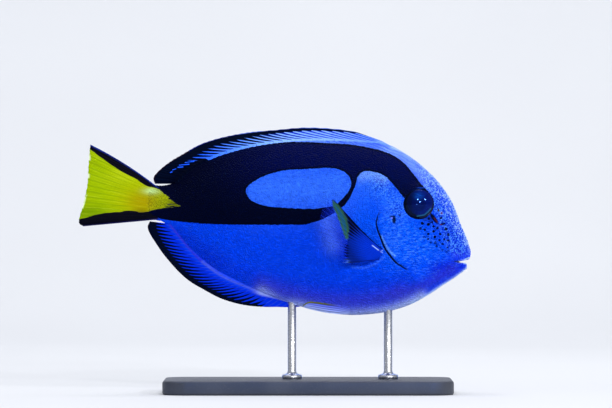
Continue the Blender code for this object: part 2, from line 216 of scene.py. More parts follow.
def stations_for(spacing_body, spacing_head):
    t = np.linspace(KNOTS[0], KNOTS[-1], 6000)
    rows = sections_at(t)
    gap = np.maximum.reduce([np.hypot(*np.diff(rows[:, a], axis=0).T) for a in ([0, 1], [2, 3], [5, 6])])
    want = spacing_body + (spacing_head - spacing_body) * smoothstep(34, 40, rows[:-1, 2])
    count = np.concatenate([[0], np.cumsum(gap / want)])
    return np.interp(np.linspace(0, count[-1], int(count[-1]) + 1), count, t)


def grid_normals(half):
    """Outward normals of a half grid, using its mirror image beyond the back and the keel."""
    flip = np.array([1, -1, 1])
    wide = np.concatenate([half[:, 1:2] * flip, half, half[:, -2:-1] * flip], axis=1)
    along = np.gradient(wide, axis=0)
    across = np.gradient(wide, axis=1)
    n = np.cross(along, across)[:, 1:-1]
    n /= np.maximum(np.linalg.norm(n, axis=2, keepdims=True), 1e-9)
    if n[len(n) // 2, n.shape[1] // 2, 1] < 0:
        n = -n
    n[:, 0, 1] = n[:, -1, 1] = 0
    return n / np.maximum(np.linalg.norm(n, axis=2, keepdims=True), 1e-9)


# ------------------------------------------------------------------ relief of the body
GILL = catmull(grid_points([(381.2, 205.5), (379.2, 211), (377.2, 217), (376.1, 222.6), (377.0, 228.6), (380.3, 237.6), (385.2, 249.2), (394.3, 261.1), (401.6, 266.4), (408, 270.2), (415, 273.6)]))
PREOPERCLE = catmull(grid_points([(397.5, 206), (396, 222), (397.5, 238), (403, 250), (412, 260), (424, 266)]))
EYE_AT, EYE_RADII, EYE_TURN = np.array([51.7, 5.3, 68.0]), np.array([6.1, 3.5, 6.0]), math.radians(9.0)
EYE_RIM = 5.3
NOSTRILS = grid_points([(437.7, 209.9), (441.2, 213.2)])
SPINE_AT = (-37.2, 67.9)


def eye_outer(x, z):
    """Distance from the eye's axis seen from the side, its direction, and the eyeball's height there."""
    dx, dz = x - EYE_AT[0], z - EYE_AT[2]
    rho = np.hypot(dx, dz)
    lean = EYE_AT[1] - np.tan(EYE_TURN) * dx
    cap = EYE_RADII[1] * np.sqrt(np.clip(1 - (dx / EYE_RADII[0]) ** 2 - (dz / EYE_RADII[2]) ** 2, 0, 1))
    return rho, np.arctan2(dz, dx), lean, cap


def relief(points, normals):
    """The left half with its gill slit, eye socket, nostrils, lips and wrinkles."""
    shape = points.shape
    p, n = points.reshape(-1, 3).copy(), normals.reshape(-1, 3)
    side_view = p[:, [0, 2]]
    flank = smoothstep(0.5, 3.0, p[:, 1])
    out = np.zeros(len(p))

    dist, side, along = line_distance(GILL, side_view)
    d = dist * -side          # positive in front of the slit
    fade = smoothstep(0.0, 0.16, along) * (1 - smoothstep(0.82, 1.0, along))
    fade_end = np.where((along <= 0.0) | (along >= 1.0), 0.0, fade)
    cover = smoothstep(-0.10, 0.30, d) * np.exp(-np.clip(d, 0, None) / 2.6)
    behind = gauss(np.clip(-d, 0, None), 2.4) * (d < 0)
    out += fade_end * flank * (0.50 * cover - 0.22 * behind * (1 - gauss(d, 0.05)) - 0.62 * gauss(d + 0.10, 0.27))

    dist, side, along = line_distance(PREOPERCLE, side_view)
    fade = smoothstep(0, 0.2, along) * (1 - smoothstep(0.7, 1.0, along))
    out += fade * flank * (0.13 * gauss(dist, 0.9) - 0.07 * gauss(dist - 1.1, 0.6))

    for spot in NOSTRILS:
        r = np.hypot(side_view[:, 0] - spot[0], side_view[:, 1] - spot[1])
        out += flank * (0.10 * gauss(r - 0.55, 0.22) - 0.38 * gauss(r, 0.30))

    r = np.hypot((side_view[:, 0] - SPINE_AT[0]) / 1.7, (side_view[:, 1] - SPINE_AT[1]) / 0.60)
    out += 0.10 * gauss(r - 1.25, 0.25) - 0.34 * (1 - smoothstep(0.7, 1.1, r))

    # low folds of the cheek and throat, running back from the mouth
    px, py = p[:, 0] / STEP + GRID_X, (GRID_Z - p[:, 2]) / STEP
    zone = area_distance(CHEEK_FOLDS, side_view)
    wave = np.sin((py + 2.4 * np.sin(px * 0.16) + 1.3 * np.sin(px * 0.41 + py * 0.12) - 0.10 * (px - 400)) * 2 * math.pi / 3.1)
    patchy = 0.55 + 0.45 * np.sin(px * 0.33 + py * 0.51) * np.sin(px * 0.12 - py * 0.29)
    out += flank * 0.045 * wave * patchy * smoothstep(0, 4, zone)

    # lip cushions and the crease behind the upper lip
    r, side, along = line_distance(LIP_LINE, side_view)
    out += 0.16 * gauss(r - 0.75, 0.5) * smoothstep(62, 66.5, p[:, 0]) * smoothstep(0.3, 1.0, p[:, 1])
    r, side, along = line_distance(LIP_CREASE, side_view)
    out -= 0.16 * gauss(r, 0.30) * smoothstep(0.0, 0.25, along) * (1 - smoothstep(0.75, 1, along)) * flank
    r, side, along = line_distance(TEAR_CREASE, side_view)
    out -= 0.22 * gauss(r, 0.26) * (1 - smoothstep(0.7, 1.0, along)) * flank
    p += out[:, None] * n

    # the skin climbs to the eyeball all round, and dives under it inside the rim
    rho, _, lean, cap = eye_outer(p[:, 0], p[:, 2])
    dx, dz = p[:, 0] - EYE_AT[0], p[:, 2] - EYE_AT[2]
    scale = EYE_RIM / np.maximum(rho, 1e-6)
    rim_cap = EYE_RADII[1] * np.sqrt(np.clip(1 - (dx * scale / EYE_RADII[0]) ** 2 - (dz * scale / EYE_RADII[2]) ** 2, 0, 1))
    rim_y = EYE_AT[1] - np.tan(EYE_TURN) * dx * scale + rim_cap + 0.10
    out_from_rim = rho - EYE_RIM
    blend = (1 - smoothstep(0.0, 3.4, out_from_rim)) * (p[:, 1] > 1.0)
    near = out_from_rim >= 0
    p[:, 1] = np.where(near, p[:, 1] + (rim_y - p[:, 1]) * blend + 0.16 * gauss(out_from_rim - 0.45, 0.35) * (p[:, 1] > 1), p[:, 1])
    inner = (rho < EYE_RIM) & (p[:, 1] > 1)
    p[:, 1] = np.where(inner, np.minimum(rim_y, lean + cap) - 1.6 * smoothstep(0, 1.1, EYE_RIM - rho), p[:, 1])
    return p.reshape(shape)


CHEEK_FOLDS = catmull(grid_points([(384, 222), (398, 212), (410, 226), (424, 232), (440, 250), (452, 262), (444, 274), (420, 284), (404, 276), (390, 262), (382, 244)]), closed=True)
LIP_LINE = catmull(grid_points([(454.8, 262.4), (459, 262.0), (464, 261.5), (470, 261)]))
LIP_CREASE = catmull(grid_points([(455.5, 261.5), (459.5, 255), (463.5, 250), (467, 247.5)]))
TEAR_CREASE = catmull(grid_points([(432.2, 214), (434.5, 217.5), (438, 222), (444, 223.2)]))

# ------------------------------------------------------------------ colour markings of the side view
BAND_UPPER = [
    (428, 191.5), (425.3, 189), (422.5, 185.8), (420, 182.9), (416, 177.6), (412, 172.6), (408, 167.6), (404, 163.1), (400, 159.8), (396, 157.1), (392, 154.9),
    (388, 153.1), (380, 150.3), (372, 148.4), (364, 146.6), (356, 145.3), (348, 144.3), (340, 143.7), (324, 142.9), (308, 142.1), (292, 141.7), (276, 142.6),
    (260, 144.2), (252, 145.3), (244, 146.9), (236, 148.9), (228, 151.3), (220, 153.8), (212, 156.4), (204, 158.8), (196, 161.3), (188, 164.5), (178, 164),
]
BAND_FRONT = [(344.8, 205), (350.6, 196), (355.4, 185), (357.4, 177.4), (361.4, 172.6), (367.3, 171), (378, 173.2), (386, 177.2), (395.4, 187.7), (404.8, 199.5)]
BAND_LOWER = [(140, 217.4), (152, 217.4), (162, 218.8), (171.8, 220.6), (190.5, 222.6), (220, 224.4), (257.5, 224.7), (284.3, 224.7), (303, 224.6), (313.8, 222.2), (324, 218.5), (334, 213), (344.8, 205)]
PALETTE = [(246, 190.6), (249, 185.5), (256, 180.4), (268.2, 174.6), (284.3, 170.6), (305.7, 169.2), (327.1, 168.1), (339.5, 169.8), (347.6, 175), (351, 182.3), (348.9, 190.4), (341.5, 199.5), (336, 204.5), (327.1, 206.8), (311, 208.8), (284.3, 207.7), (268.2, 206.4), (257.5, 203.4), (249.5, 198.6)]
YELLOW_UPPER = [
    (84, 144.6), (90.3, 149.3), (95, 153.1), (100, 157.1), (105, 160.3), (110, 164), (115, 167.1), (120, 170.6), (125, 173.3), (130, 176), (135, 178.4),
    (140, 181.7), (145, 184.9), (150, 187), (155, 187.9), (160, 189.9), (165, 194), (170, 198.9), (175, 202.8), (180.5, 205.3),
]
YELLOW_LOWER = [
    (180.5, 205.5), (175, 206.4), (170, 206.9), (165, 207.6), (160, 208.5), (155, 209.5), (150, 210.8), (145, 211.8), (140, 212), (135, 211.1), (130, 210.6), (125, 211),
    (120, 212), (115, 212.1), (110, 212.7), (105, 213.1), (100, 213.9), (95, 215.1), (85, 217.7), (80, 218.9), (70, 222),
]
FRECKLES = [
    (421.9, 223.3, 1.35, 1.0), (427.9, 224.4, 1.35, 1.0), (433.2, 226.3, 1.1, 1.0), (420.0, 228.3, 1.25, 0.85), (424.6, 229.9, 1.0, 0.95),
    (427.9, 233.7, 1.2, 0.95), (433.2, 231.2, 1.05, 1.0), (437.2, 228.0, 1.2, 0.9), (445.6, 228.9, 1.35, 0.95), (439.7, 233.9, 1.1, 1.0),
    (434.5, 236.8, 1.15, 1.0), (423.4, 236.6, 0.95, 0.6), (427.9, 238.8, 1.1, 0.85), (447.9, 234.5, 1.25, 0.9), (443.9, 234.3, 0.55, 0.6),
    (439.0, 240.0, 1.1, 0.9), (444.0, 239.3, 1.0, 0.9), (447.8, 240.3, 0.95, 0.9), (430.3, 242.3, 1.05, 0.75), (435.0, 242.6, 1.2, 0.75),
    (442.2, 243.8, 1.15, 0.85), (436.3, 246.0, 1.15, 0.75), (447.5, 247.4, 0.85, 0.9), (442.3, 249.8, 1.1, 0.6), (446.0, 251.8, 1.0, 0.5),
    (448.5, 250.8, 0.8, 0.6), (431.8, 222.1, 1.1, 0.9), (428.6, 218.7, 1.15, 0.9), (440.7, 217.9, 0.95, 1.0), (439.4, 231.2, 0.5, 0.5), (440.0, 247.3, 0.5, 0.5),
]

DARK_AREA = np.vstack([
    catmull(grid_points(BAND_UPPER)), grid_points([(170, 150), (60, 130), (60, 232), (120, 232)]),
    catmull(grid_points(BAND_LOWER))[:-1], catmull(grid_points(BAND_FRONT)), grid_points([(409, 209), (420, 206), (429, 197)]),
])
PALETTE_AREA = catmull(grid_points(PALETTE), closed=True)
YELLOW_AREA = np.vstack([catmull(grid_points(YELLOW_UPPER)), catmull(grid_points(YELLOW_LOWER))[1:], grid_points([(50, 226), (50, 140)])])
FRECKLE_SPOTS = np.array([(gx(a), gz(b), 1.12 * c * STEP, d) for a, b, c, d in FRECKLES])


# Broad washes of colour: (colour, half width in grid steps, strength, line it follows).
WASHES = [
    ("rear flank", (0, 70, 242), 40, 0.9, [(160, 226), (230, 240)]),
    ("mid flank", (0, 63, 236), 34, 0.9, [(230, 240), (300, 250), (350, 262)]),
    ("lower flank", (5, 52, 226), 13, 0.8, [(210, 262), (250, 276), (300, 288), (350, 293), (400, 284)]),
    ("shoulder", (0, 84, 250), 15, 0.9, [(362, 205), (364, 232)]),
    ("axil", (0, 70, 245), 9, 0.8, [(352, 270), (390, 268)]),
    ("gill cover", (2, 92, 252), 17, 0.9, [(392, 226), (396, 250)]),
    ("cheek", (6, 90, 250), 16, 0.9, [(408, 232), (430, 256)]),
    ("lobe", (26, 100, 252), 11, 0.9, [(366, 184), (384, 194), (398, 206)]),
    ("lobe top", (120, 168, 255), 6.0, 0.95, [(361, 175.5), (371, 174.5), (383, 178)]),
    ("palette", (50, 112, 254), 26, 1.0, [(262, 190), (334, 186)]),
    ("strip tail", (30, 90, 248), 3.2, 0.95, [(196, 159.5), (212, 154.2), (228, 149.2)]),
    ("strip rear", (82, 134, 252), 3.2, 0.95, [(228, 149.2), (244, 144.8), (260, 142)]),
    ("strip middle", (112, 158, 255), 3.2, 0.95, [(260, 142), (276, 140.4), (292, 139.5), (308, 139.9), (324, 140.6), (340, 141.4)]),
    ("strip front", (92, 134, 252), 3.6, 0.95, [(340, 141.4), (356, 143), (372, 146), (388, 150.6)]),
    # painted top light: the nape and the forehead's upper rim lighter where light from above falls
    ("nape", (118, 154, 255), 7.0, 0.95, [(386, 148), (400, 154.5), (414, 165), (426, 177)]),
    ("forehead top light", (104, 142, 252), 4.6, 0.95, [(429, 176), (442, 188), (452, 203.5), (459, 219)]),
    ("forehead", (24, 74, 240), 7, 0.9, [(434, 196), (441, 207), (449, 223)]),
    # painted top light along the snout's upper rim
    ("snout top light", (92, 130, 250), 3.4, 0.9, [(459, 219), (465.5, 235), (470, 252)]),
    ("snout", (16, 68, 238), 8, 0.85, [(448, 222), (457, 240), (462, 250)]),
    ("muzzle", (46, 62, 226), 4.2, 0.8, [(455, 254), (466, 254)]),
    ("chin", (6, 34, 206), 9, 0.9, [(436, 268), (460, 266)]),
    ("throat", (38, 42, 196), 7, 0.85, [(398, 294), (420, 287), (440, 276.5), (452, 270)]),
    ("belly", (52, 56, 206), 9, 0.85, [(262, 286), (300, 297), (340, 302), (372, 301), (400, 294)]),
    # painted highlight: pale rim along the keel and chin, standing in for light from below
    ("keel", (170, 188, 240), 6.4, 0.95, [(262, 294), (281, 305), (297, 307), (321, 312.4), (345, 315.5), (369, 315), (393, 310.6), (412, 303.4), (422, 298.6)]),
    ("chin rim highlight", (176, 206, 255), 1.5, 0.95, [(412, 303.2), (425, 296.9), (433, 291.6), (441, 286.4), (449, 281.5), (457, 276.4), (466, 269.4), (468, 266.4)]),
    ("rear low", (0, 42, 204), 12, 0.75, [(176, 232), (190, 241), (214, 262)]),
    # painted shade under the eye
    ("under eye shade", (1, 12, 100), 2.6, 0.85, [(424.5, 218), (429.5, 218.2)]),
    ("anal base", (66, 40, 196), 0.9, 0.5, [(170, 225), (190, 249.6), (202, 262)]),
    ("anal base fore", (92, 108, 216), 1.0, 0.6, [(202, 262), (221, 275.6), (243, 285.6), (264, 293), (280, 298.5)]),
    # painted highlight on the upper rim of the eye socket
    ("brow highlight", (110, 160, 255), 1.5, 0.9, [(424.5, 185.2), (430, 190), (434, 196)]),
    # painted rim highlight along the upper outline of the nape, forehead and snout
    ("outline rim highlight", (170, 202, 255), 1.2, 0.9, [(392, 146.6), (402, 151.8), (412, 158.2), (422, 166.4), (431, 174.6), (438, 182.4), (444.4, 190.4), (452, 204.4), (458.6, 219.6), (465, 235), (470, 250)]),
    # painted highlight on the edge of the gill cover in front of the slit
    ("slit edge highlight", (104, 168, 255), 0.9, 0.95, [(381.2, 236), (383.9, 241.8), (387.4, 248.4), (391.0, 252.6), (394.5, 255.6)]),
    # lighter flank under the pectoral's veil: partly its colour, partly painted light against the fin's shadow
    ("under veil light", (84, 128, 255), 9.5, 0.9, [(329, 219), (334, 243)]),
    # painted shadows of folds under the pectoral, and a painted highlight between them
    ("axil fold shadow", (2, 24, 150), 1.0, 0.65, [(347, 262.6), (360, 264.6), (371, 261.4), (381, 254.5)]),
    ("axil gleam", (60, 118, 255), 1.0, 0.6, [(352, 267), (364, 267.6), (375, 263.6), (384, 256.5)]),
]


def paint(side_view):
    """Soft body colour at points of the side view, in linear light, with painted highlights and shade among its washes.
    """
    colour = np.tile(srgb(2, 66, 235), (len(side_view), 1))
    for _, tint, width, strength, line in WASHES:
        path = grid_points(line)
        dist, _, _ = line_distance(catmull(path) if len(path) > 2 else path, side_view)
        w = (strength * gauss(dist, width * STEP))[:, None]
        colour = colour * (1 - w) + srgb(*tint) * w
    return colour


def paint_yellow(side_view):
    px, py = side_view[:, 0] / STEP + GRID_X, (GRID_Z - side_view[:, 1]) / STEP
    colour = np.tile(srgb(156, 174, 0), (len(side_view), 1))
    for tint, cx, cy, wx, wy, k in (
        ((140, 168, 0), 94, 178, 20, 60, 0.9), ((152, 134, 0), 142, 202, 18, 13, 0.9), ((164, 182, 14), 122, 178, 22, 6, 0.45),
        # the whitish green spot at (152, 191) is a painted highlight
        ((92, 98, 2), 176, 205, 12, 9, 0.85), ((184, 216, 138), 152, 191.0, 7.5, 3.0, 0.95), ((92, 128, 0), 88, 213, 24, 8, 0.85), ((104, 84, 2), 141, 212, 9, 3.4, 0.8),
    ):
        w = (k * np.exp(-(((px - cx) / wx) ** 2) - ((py - cy) / wy) ** 2))[:, None]
        colour = colour * (1 - w) + srgb(*tint) * w
    return colour


def markings(side_view):
    """Named fields over the side view: signed distances in millimetres and 0 to 1 weights."""
    px, py = side_view[:, 0] / STEP + GRID_X, (GRID_Z - side_view[:, 1]) / STEP
    palette = area_distance(PALETTE_AREA, side_view)
    dark = np.minimum(area_distance(DARK_AREA, side_view), -palette)

    def blob(cx, cy, wx, wy, turn=0.0):
        c, s = math.cos(math.radians(turn)), math.sin(math.radians(turn))
        u, v = (px - cx) * c + (py - cy) * s, -(px - cx) * s + (py - cy) * c
        return np.exp(-((u / wx) ** 2) - (v / wy) ** 2)

    front = smoothstep(-3, 5, (px - 430) * 0.90 - (py - 205) * 0.36)
    front = front * (1 - smoothstep(248, 259, py)) * (1 - 0.35 * blob(420, 174, 14, 12, 45))
    # pale: the upper and front outline of the head, where the grain is painted paler as light from above
    rim = np.maximum(smoothstep(-1.5, 6, (px - 436) * 0.86 - (py - 198) * 0.47) * smoothstep(140, 150, py), blob(424, 178, 13, 11, 45))
    granules = np.clip(front + 0.8 * blob(382, 186, 13, 9, 35) + 0.75 * blob(397, 208, 10, 11) + 0.25 * blob(392, 236, 9, 16), 0, 1)
    # where the painted light and shade of low folds shows: cheek, gill cover, lobe and palette
    ripple = 0.10 + 0.22 * smoothstep(-0.3, 0.3, palette) + 0.75 * blob(418, 250, 26, 24) + 0.55 * blob(394, 226, 16, 26) + 0.45 * blob(372, 181, 16, 12)
    navy = np.clip(0.12 + 0.88 * smoothstep(215, 160, py) * smoothstep(190, 300, px) + 0.15 * smoothstep(180, 140, px), 0, 1)
    gap, _, along = line_distance(GILL, side_view)
    slit = np.interp(along, [0.0, 0.05, 0.11, 0.24, 0.40, 0.84, 0.93, 1.0], [-0.3, 0.0, 0.16, 0.30, 0.32, 0.28, 0.08, -0.3]) - gap
    top = np.interp(px, [p[0] for p in BAND_UPPER[:-2]][::-1], [p[1] for p in BAND_UPPER[:-2]][::-1])
    striae = smoothstep(308, 330, px) * (1 - 0.45 * smoothstep(380, 396, px) - 0.55 * smoothstep(408, 424, px)) * smoothstep(0.2, 1.2, top - py) * (1 - smoothstep(12, 16, top - py))
    return {
        "sd_dark": dark, "sd_yellow": area_distance(YELLOW_AREA, side_view), "granules": granules, "ripple": np.clip(ripple, 0, 1), "navy": navy,
        "pale": np.clip(rim, 0, 1), "slit": np.clip(slit, -1, 1), "striae": striae,
    }


# the fields are worked out once on a lattice over the side view, and read from it by every piece
LATTICE_X, LATTICE_Z = np.arange(-74, 75, 0.25), np.arange(22, 110, 0.25)
_x, _z = np.meshgrid(LATTICE_X, LATTICE_Z, indexing="ij")
_flat = np.stack([_x.ravel(), _z.ravel()], axis=1)
LATTICE = {"tone": paint(_flat), "tone_yellow": paint_yellow(_flat), **markings(_flat)}
LATTICE = {k: v.reshape(len(LATTICE_X), len(LATTICE_Z), -1) for k, v in LATTICE.items()}


def read_field(name, side_view):
    u = np.clip((side_view[:, 0] - LATTICE_X[0]) / 0.25, 0, len(LATTICE_X) - 1.001)
    v = np.clip((side_view[:, 1] - LATTICE_Z[0]) / 0.25, 0, len(LATTICE_Z) - 1.001)
    i, j = u.astype(int), v.astype(int)
    a, b = (u - i)[:, None], (v - j)[:, None]
    g = LATTICE[name]
    out = (1 - a) * (1 - b) * g[i, j] + a * (1 - b) * g[i + 1, j] + (1 - a) * b * g[i, j + 1] + a * b * g[i + 1, j + 1]
    return out[:, 0] if out.shape[1] == 1 else out


# ------------------------------------------------------------------ meshes
def new_object(name, verts, faces, smooth=True, sharp=None):
    mesh = bpy.data.meshes.new(name)
    verts = np.asarray(verts, float) * MM
    mesh.vertices.add(len(verts))
    mesh.vertices.foreach_set("co", verts.astype(np.float32).ravel())
    faces = [np.asarray(f, np.int64) for f in faces if len(f)]
    total = sum(f.size for f in faces)
    count = sum(len(f) for f in faces)
    mesh.loops.add(total)
    mesh.polygons.add(count)
    mesh.loops.foreach_set("vertex_index", np.concatenate([f.ravel() for f in faces]).astype(np.int32))
    sizes = np.concatenate([np.full(len(f), f.shape[1]) for f in faces])
    mesh.polygons.foreach_set("loop_start", np.concatenate([[0], np.cumsum(sizes)[:-1]]).astype(np.int32))
    mesh.update(calc_edges=True)
    mesh.validate()
    if smooth:
        mesh.shade_smooth()
        if sharp:
            mesh.set_sharp_from_angle(angle=math.radians(sharp))
    made = bpy.data.objects.new(name, mesh)
    bpy.context.scene.collection.objects.link(made)
    return made


def attribute(obj, name, values):
    values = np.asarray(values, np.float32)
    if values.ndim == 2:
        if values.shape[1] == 3:
            values = np.concatenate([values, np.ones((len(values), 1), np.float32)], axis=1)
        obj.data.attributes.new(name, "FLOAT_COLOR", "POINT").data.foreach_set("color", np.ascontiguousarray(values).ravel())
    else:
        obj.data.attributes.new(name, "FLOAT", "POINT").data.foreach_set("value", values)


def add_fields(obj, side_view):
    for name in LATTICE:
        attribute(obj, name, read_field(name, side_view))
    # each point knows its nearest freckle, so that the shader can draw the freckle's true outline
    best = np.full(len(side_view), 9.0)
    near = np.zeros((len(side_view), 4))
    for spot in FRECKLE_SPOTS:
        d = np.hypot(side_view[:, 0] - spot[0], side_view[:, 1] - spot[1]) - spot[2]
        near[d < best] = spot
        best = np.minimum(best, d)
    for k, name in enumerate(("spot_x", "spot_z", "spot_r", "spot_k")):
        attribute(obj, name, near[:, k])


def quads(rows, cols, start=0, wrap=False, flip=False):
    i, j = np.meshgrid(np.arange(rows - 1), np.arange(cols if wrap else cols - 1), indexing="ij")
    n = (j + 1) % cols
    f = np.stack([i * cols + j, i * cols + n, (i + 1) * cols + n, (i + 1) * cols + j], axis=-1).reshape(-1, 4) + start
    return f[:, ::-1] if flip else f


def fan(ring, centre, flip=False):
    ring = np.asarray(ring)
    f = np.stack([ring, np.roll(ring, -1), np.full(len(ring), centre)], axis=1)
    return f[:, ::-1] if flip else f


def plate(name, centre, normal, half, fields, sharp=70):
    """A closed fin from a grid of middle points, their side directions and half thicknesses."""
    nu, nv = centre.shape[:2]
    a = (centre + normal * half[..., None]).reshape(-1, 3)
    b = (centre - normal * half[..., None]).reshape(-1, 3)
    n = nu * nv
    loop = np.concatenate([np.arange(nv), np.arange(1, nu) * nv + nv - 1, (nu - 1) * nv + np.arange(nv - 2, -1, -1), np.arange(nu - 2, 0, -1) * nv])
    nxt = np.roll(loop, -1)
    rim = np.stack([loop, loop + n, nxt + n, nxt], axis=1)
    obj = new_object(name, np.vstack([a, b]), [quads(nu, nv), quads(nu, nv, n, flip=True), rim])
    bm = bmesh.new()
    bm.from_mesh(obj.data)
    bmesh.ops.recalc_face_normals(bm, faces=bm.faces)
    bm.to_mesh(obj.data)
    bm.free()
    obj.data.set_sharp_from_angle(angle=math.radians(sharp))
    for key, values in fields.items():
        values = np.asarray(values)
        flat = values.reshape(n, -1) if values.ndim == 3 else values.reshape(n)
        attribute(obj, key, np.concatenate([flat, flat]))
    return obj


# ------------------------------------------------------------------ material nodes
class Nodes:
    def __init__(self, name):
        self.mat = bpy.data.materials.new(name)
        self.mat.use_nodes = True
        self.tree = self.mat.node_tree
        self.shader = self.tree.nodes["Principled BSDF"]
        self.out = self.tree.nodes["Material Output"]

    def put(self, kind, inputs=None, **settings):
        node = self.tree.nodes.new(kind)
        for key, value in settings.items():
            setattr(node, key, value)
        for key, value in (inputs or {}).items():
            self.feed(node.inputs[key], value)
        return node

    def feed(self, socket, value):
        if isinstance(value, bpy.types.NodeSocket):
            self.tree.links.new(value, socket)
        elif isinstance(value, (tuple, list, np.ndarray)):
            value = tuple(float(v) for v in value)
            socket.default_value = value + (1.0,) if len(value) == 3 and len(socket.default_value) == 4 else value
        else:
            socket.default_value = value

    def attr(self, name, colour=False):
        node = self.put("ShaderNodeAttribute", attribute_name=name, attribute_type="GEOMETRY")
        return node.outputs["Color" if colour else "Fac"]

    def math(self, operation, a, b=0.0, c=0.0, clamp=False):
        return self.put("ShaderNodeMath", {0: a, 1: b, 2: c}, operation=operation, use_clamp=clamp).outputs[0]

    def ramp(self, value, low, high, to_low=0.0, to_high=1.0, smooth=True):
        node = self.put("ShaderNodeMapRange", {"Value": value, "From Min": low, "From Max": high, "To Min": to_low, "To Max": to_high}, interpolation_type="SMOOTHSTEP" if smooth else "LINEAR")
        return node.outputs["Result"]

    def mix(self, fac, a, b, blend="MIX"):
        node = self.put("ShaderNodeMix", data_type="RGBA", blend_type=blend)
        self.feed(node.inputs[0], fac)
        self.feed(node.inputs[6], a)
        self.feed(node.inputs[7], b)
        return node.outputs[2]

    def coords(self, scale=(1, 1, 1), turn=(0, 0, 0)):
        where = self.put("ShaderNodeTexCoord").outputs["Object"]
        return self.put("ShaderNodeMapping", {"Vector": where, "Scale": scale, "Rotation": turn}).outputs[0]

    def noise(self, scale, detail=2.0, rough=0.5, vector=None, warp=0.0):
        node = self.put("ShaderNodeTexNoise", {"Scale": scale, "Detail": detail, "Roughness": rough, "Distortion": warp})
        self.feed(node.inputs["Vector"], vector if vector is not None else self.coords())
        return node.outputs["Fac"]

    def bump(self, height, distance, strength=1.0, normal=None):
        node = self.put("ShaderNodeBump", {"Height": height, "Strength": strength, "Distance": distance})
        if normal is not None:
            self.feed(node.inputs["Normal"], normal)
        return node.outputs["Normal"]

    def finish(self, colour, rough, normal=None, specular=0.07, tint=(0.10, 0.30, 1.0), coat=0.0, coat_rough=0.1, **more):
        self.feed(self.shader.inputs["Base Color"], colour)
        self.feed(self.shader.inputs["Roughness"], rough)
        self.shader.inputs["Specular IOR Level"].default_value = specular
        self.shader.inputs["Specular Tint"].default_value = (*tint, 1.0)
        self.shader.inputs["Coat Weight"].default_value = coat
        self.shader.inputs["Coat Roughness"].default_value = coat_rough
        if normal is not None:
            self.feed(self.shader.inputs["Normal"], normal)
        for key, value in more.items():
            self.feed(self.shader.inputs[key.replace("_", " ")], value)
        return self.mat


BLACK, NAVY = (0.0001, 0.0003, 0.0040), (0.0001, 0.0014, 0.0500)
GLOSS_TINT = (0.10, 0.30, 1.0)


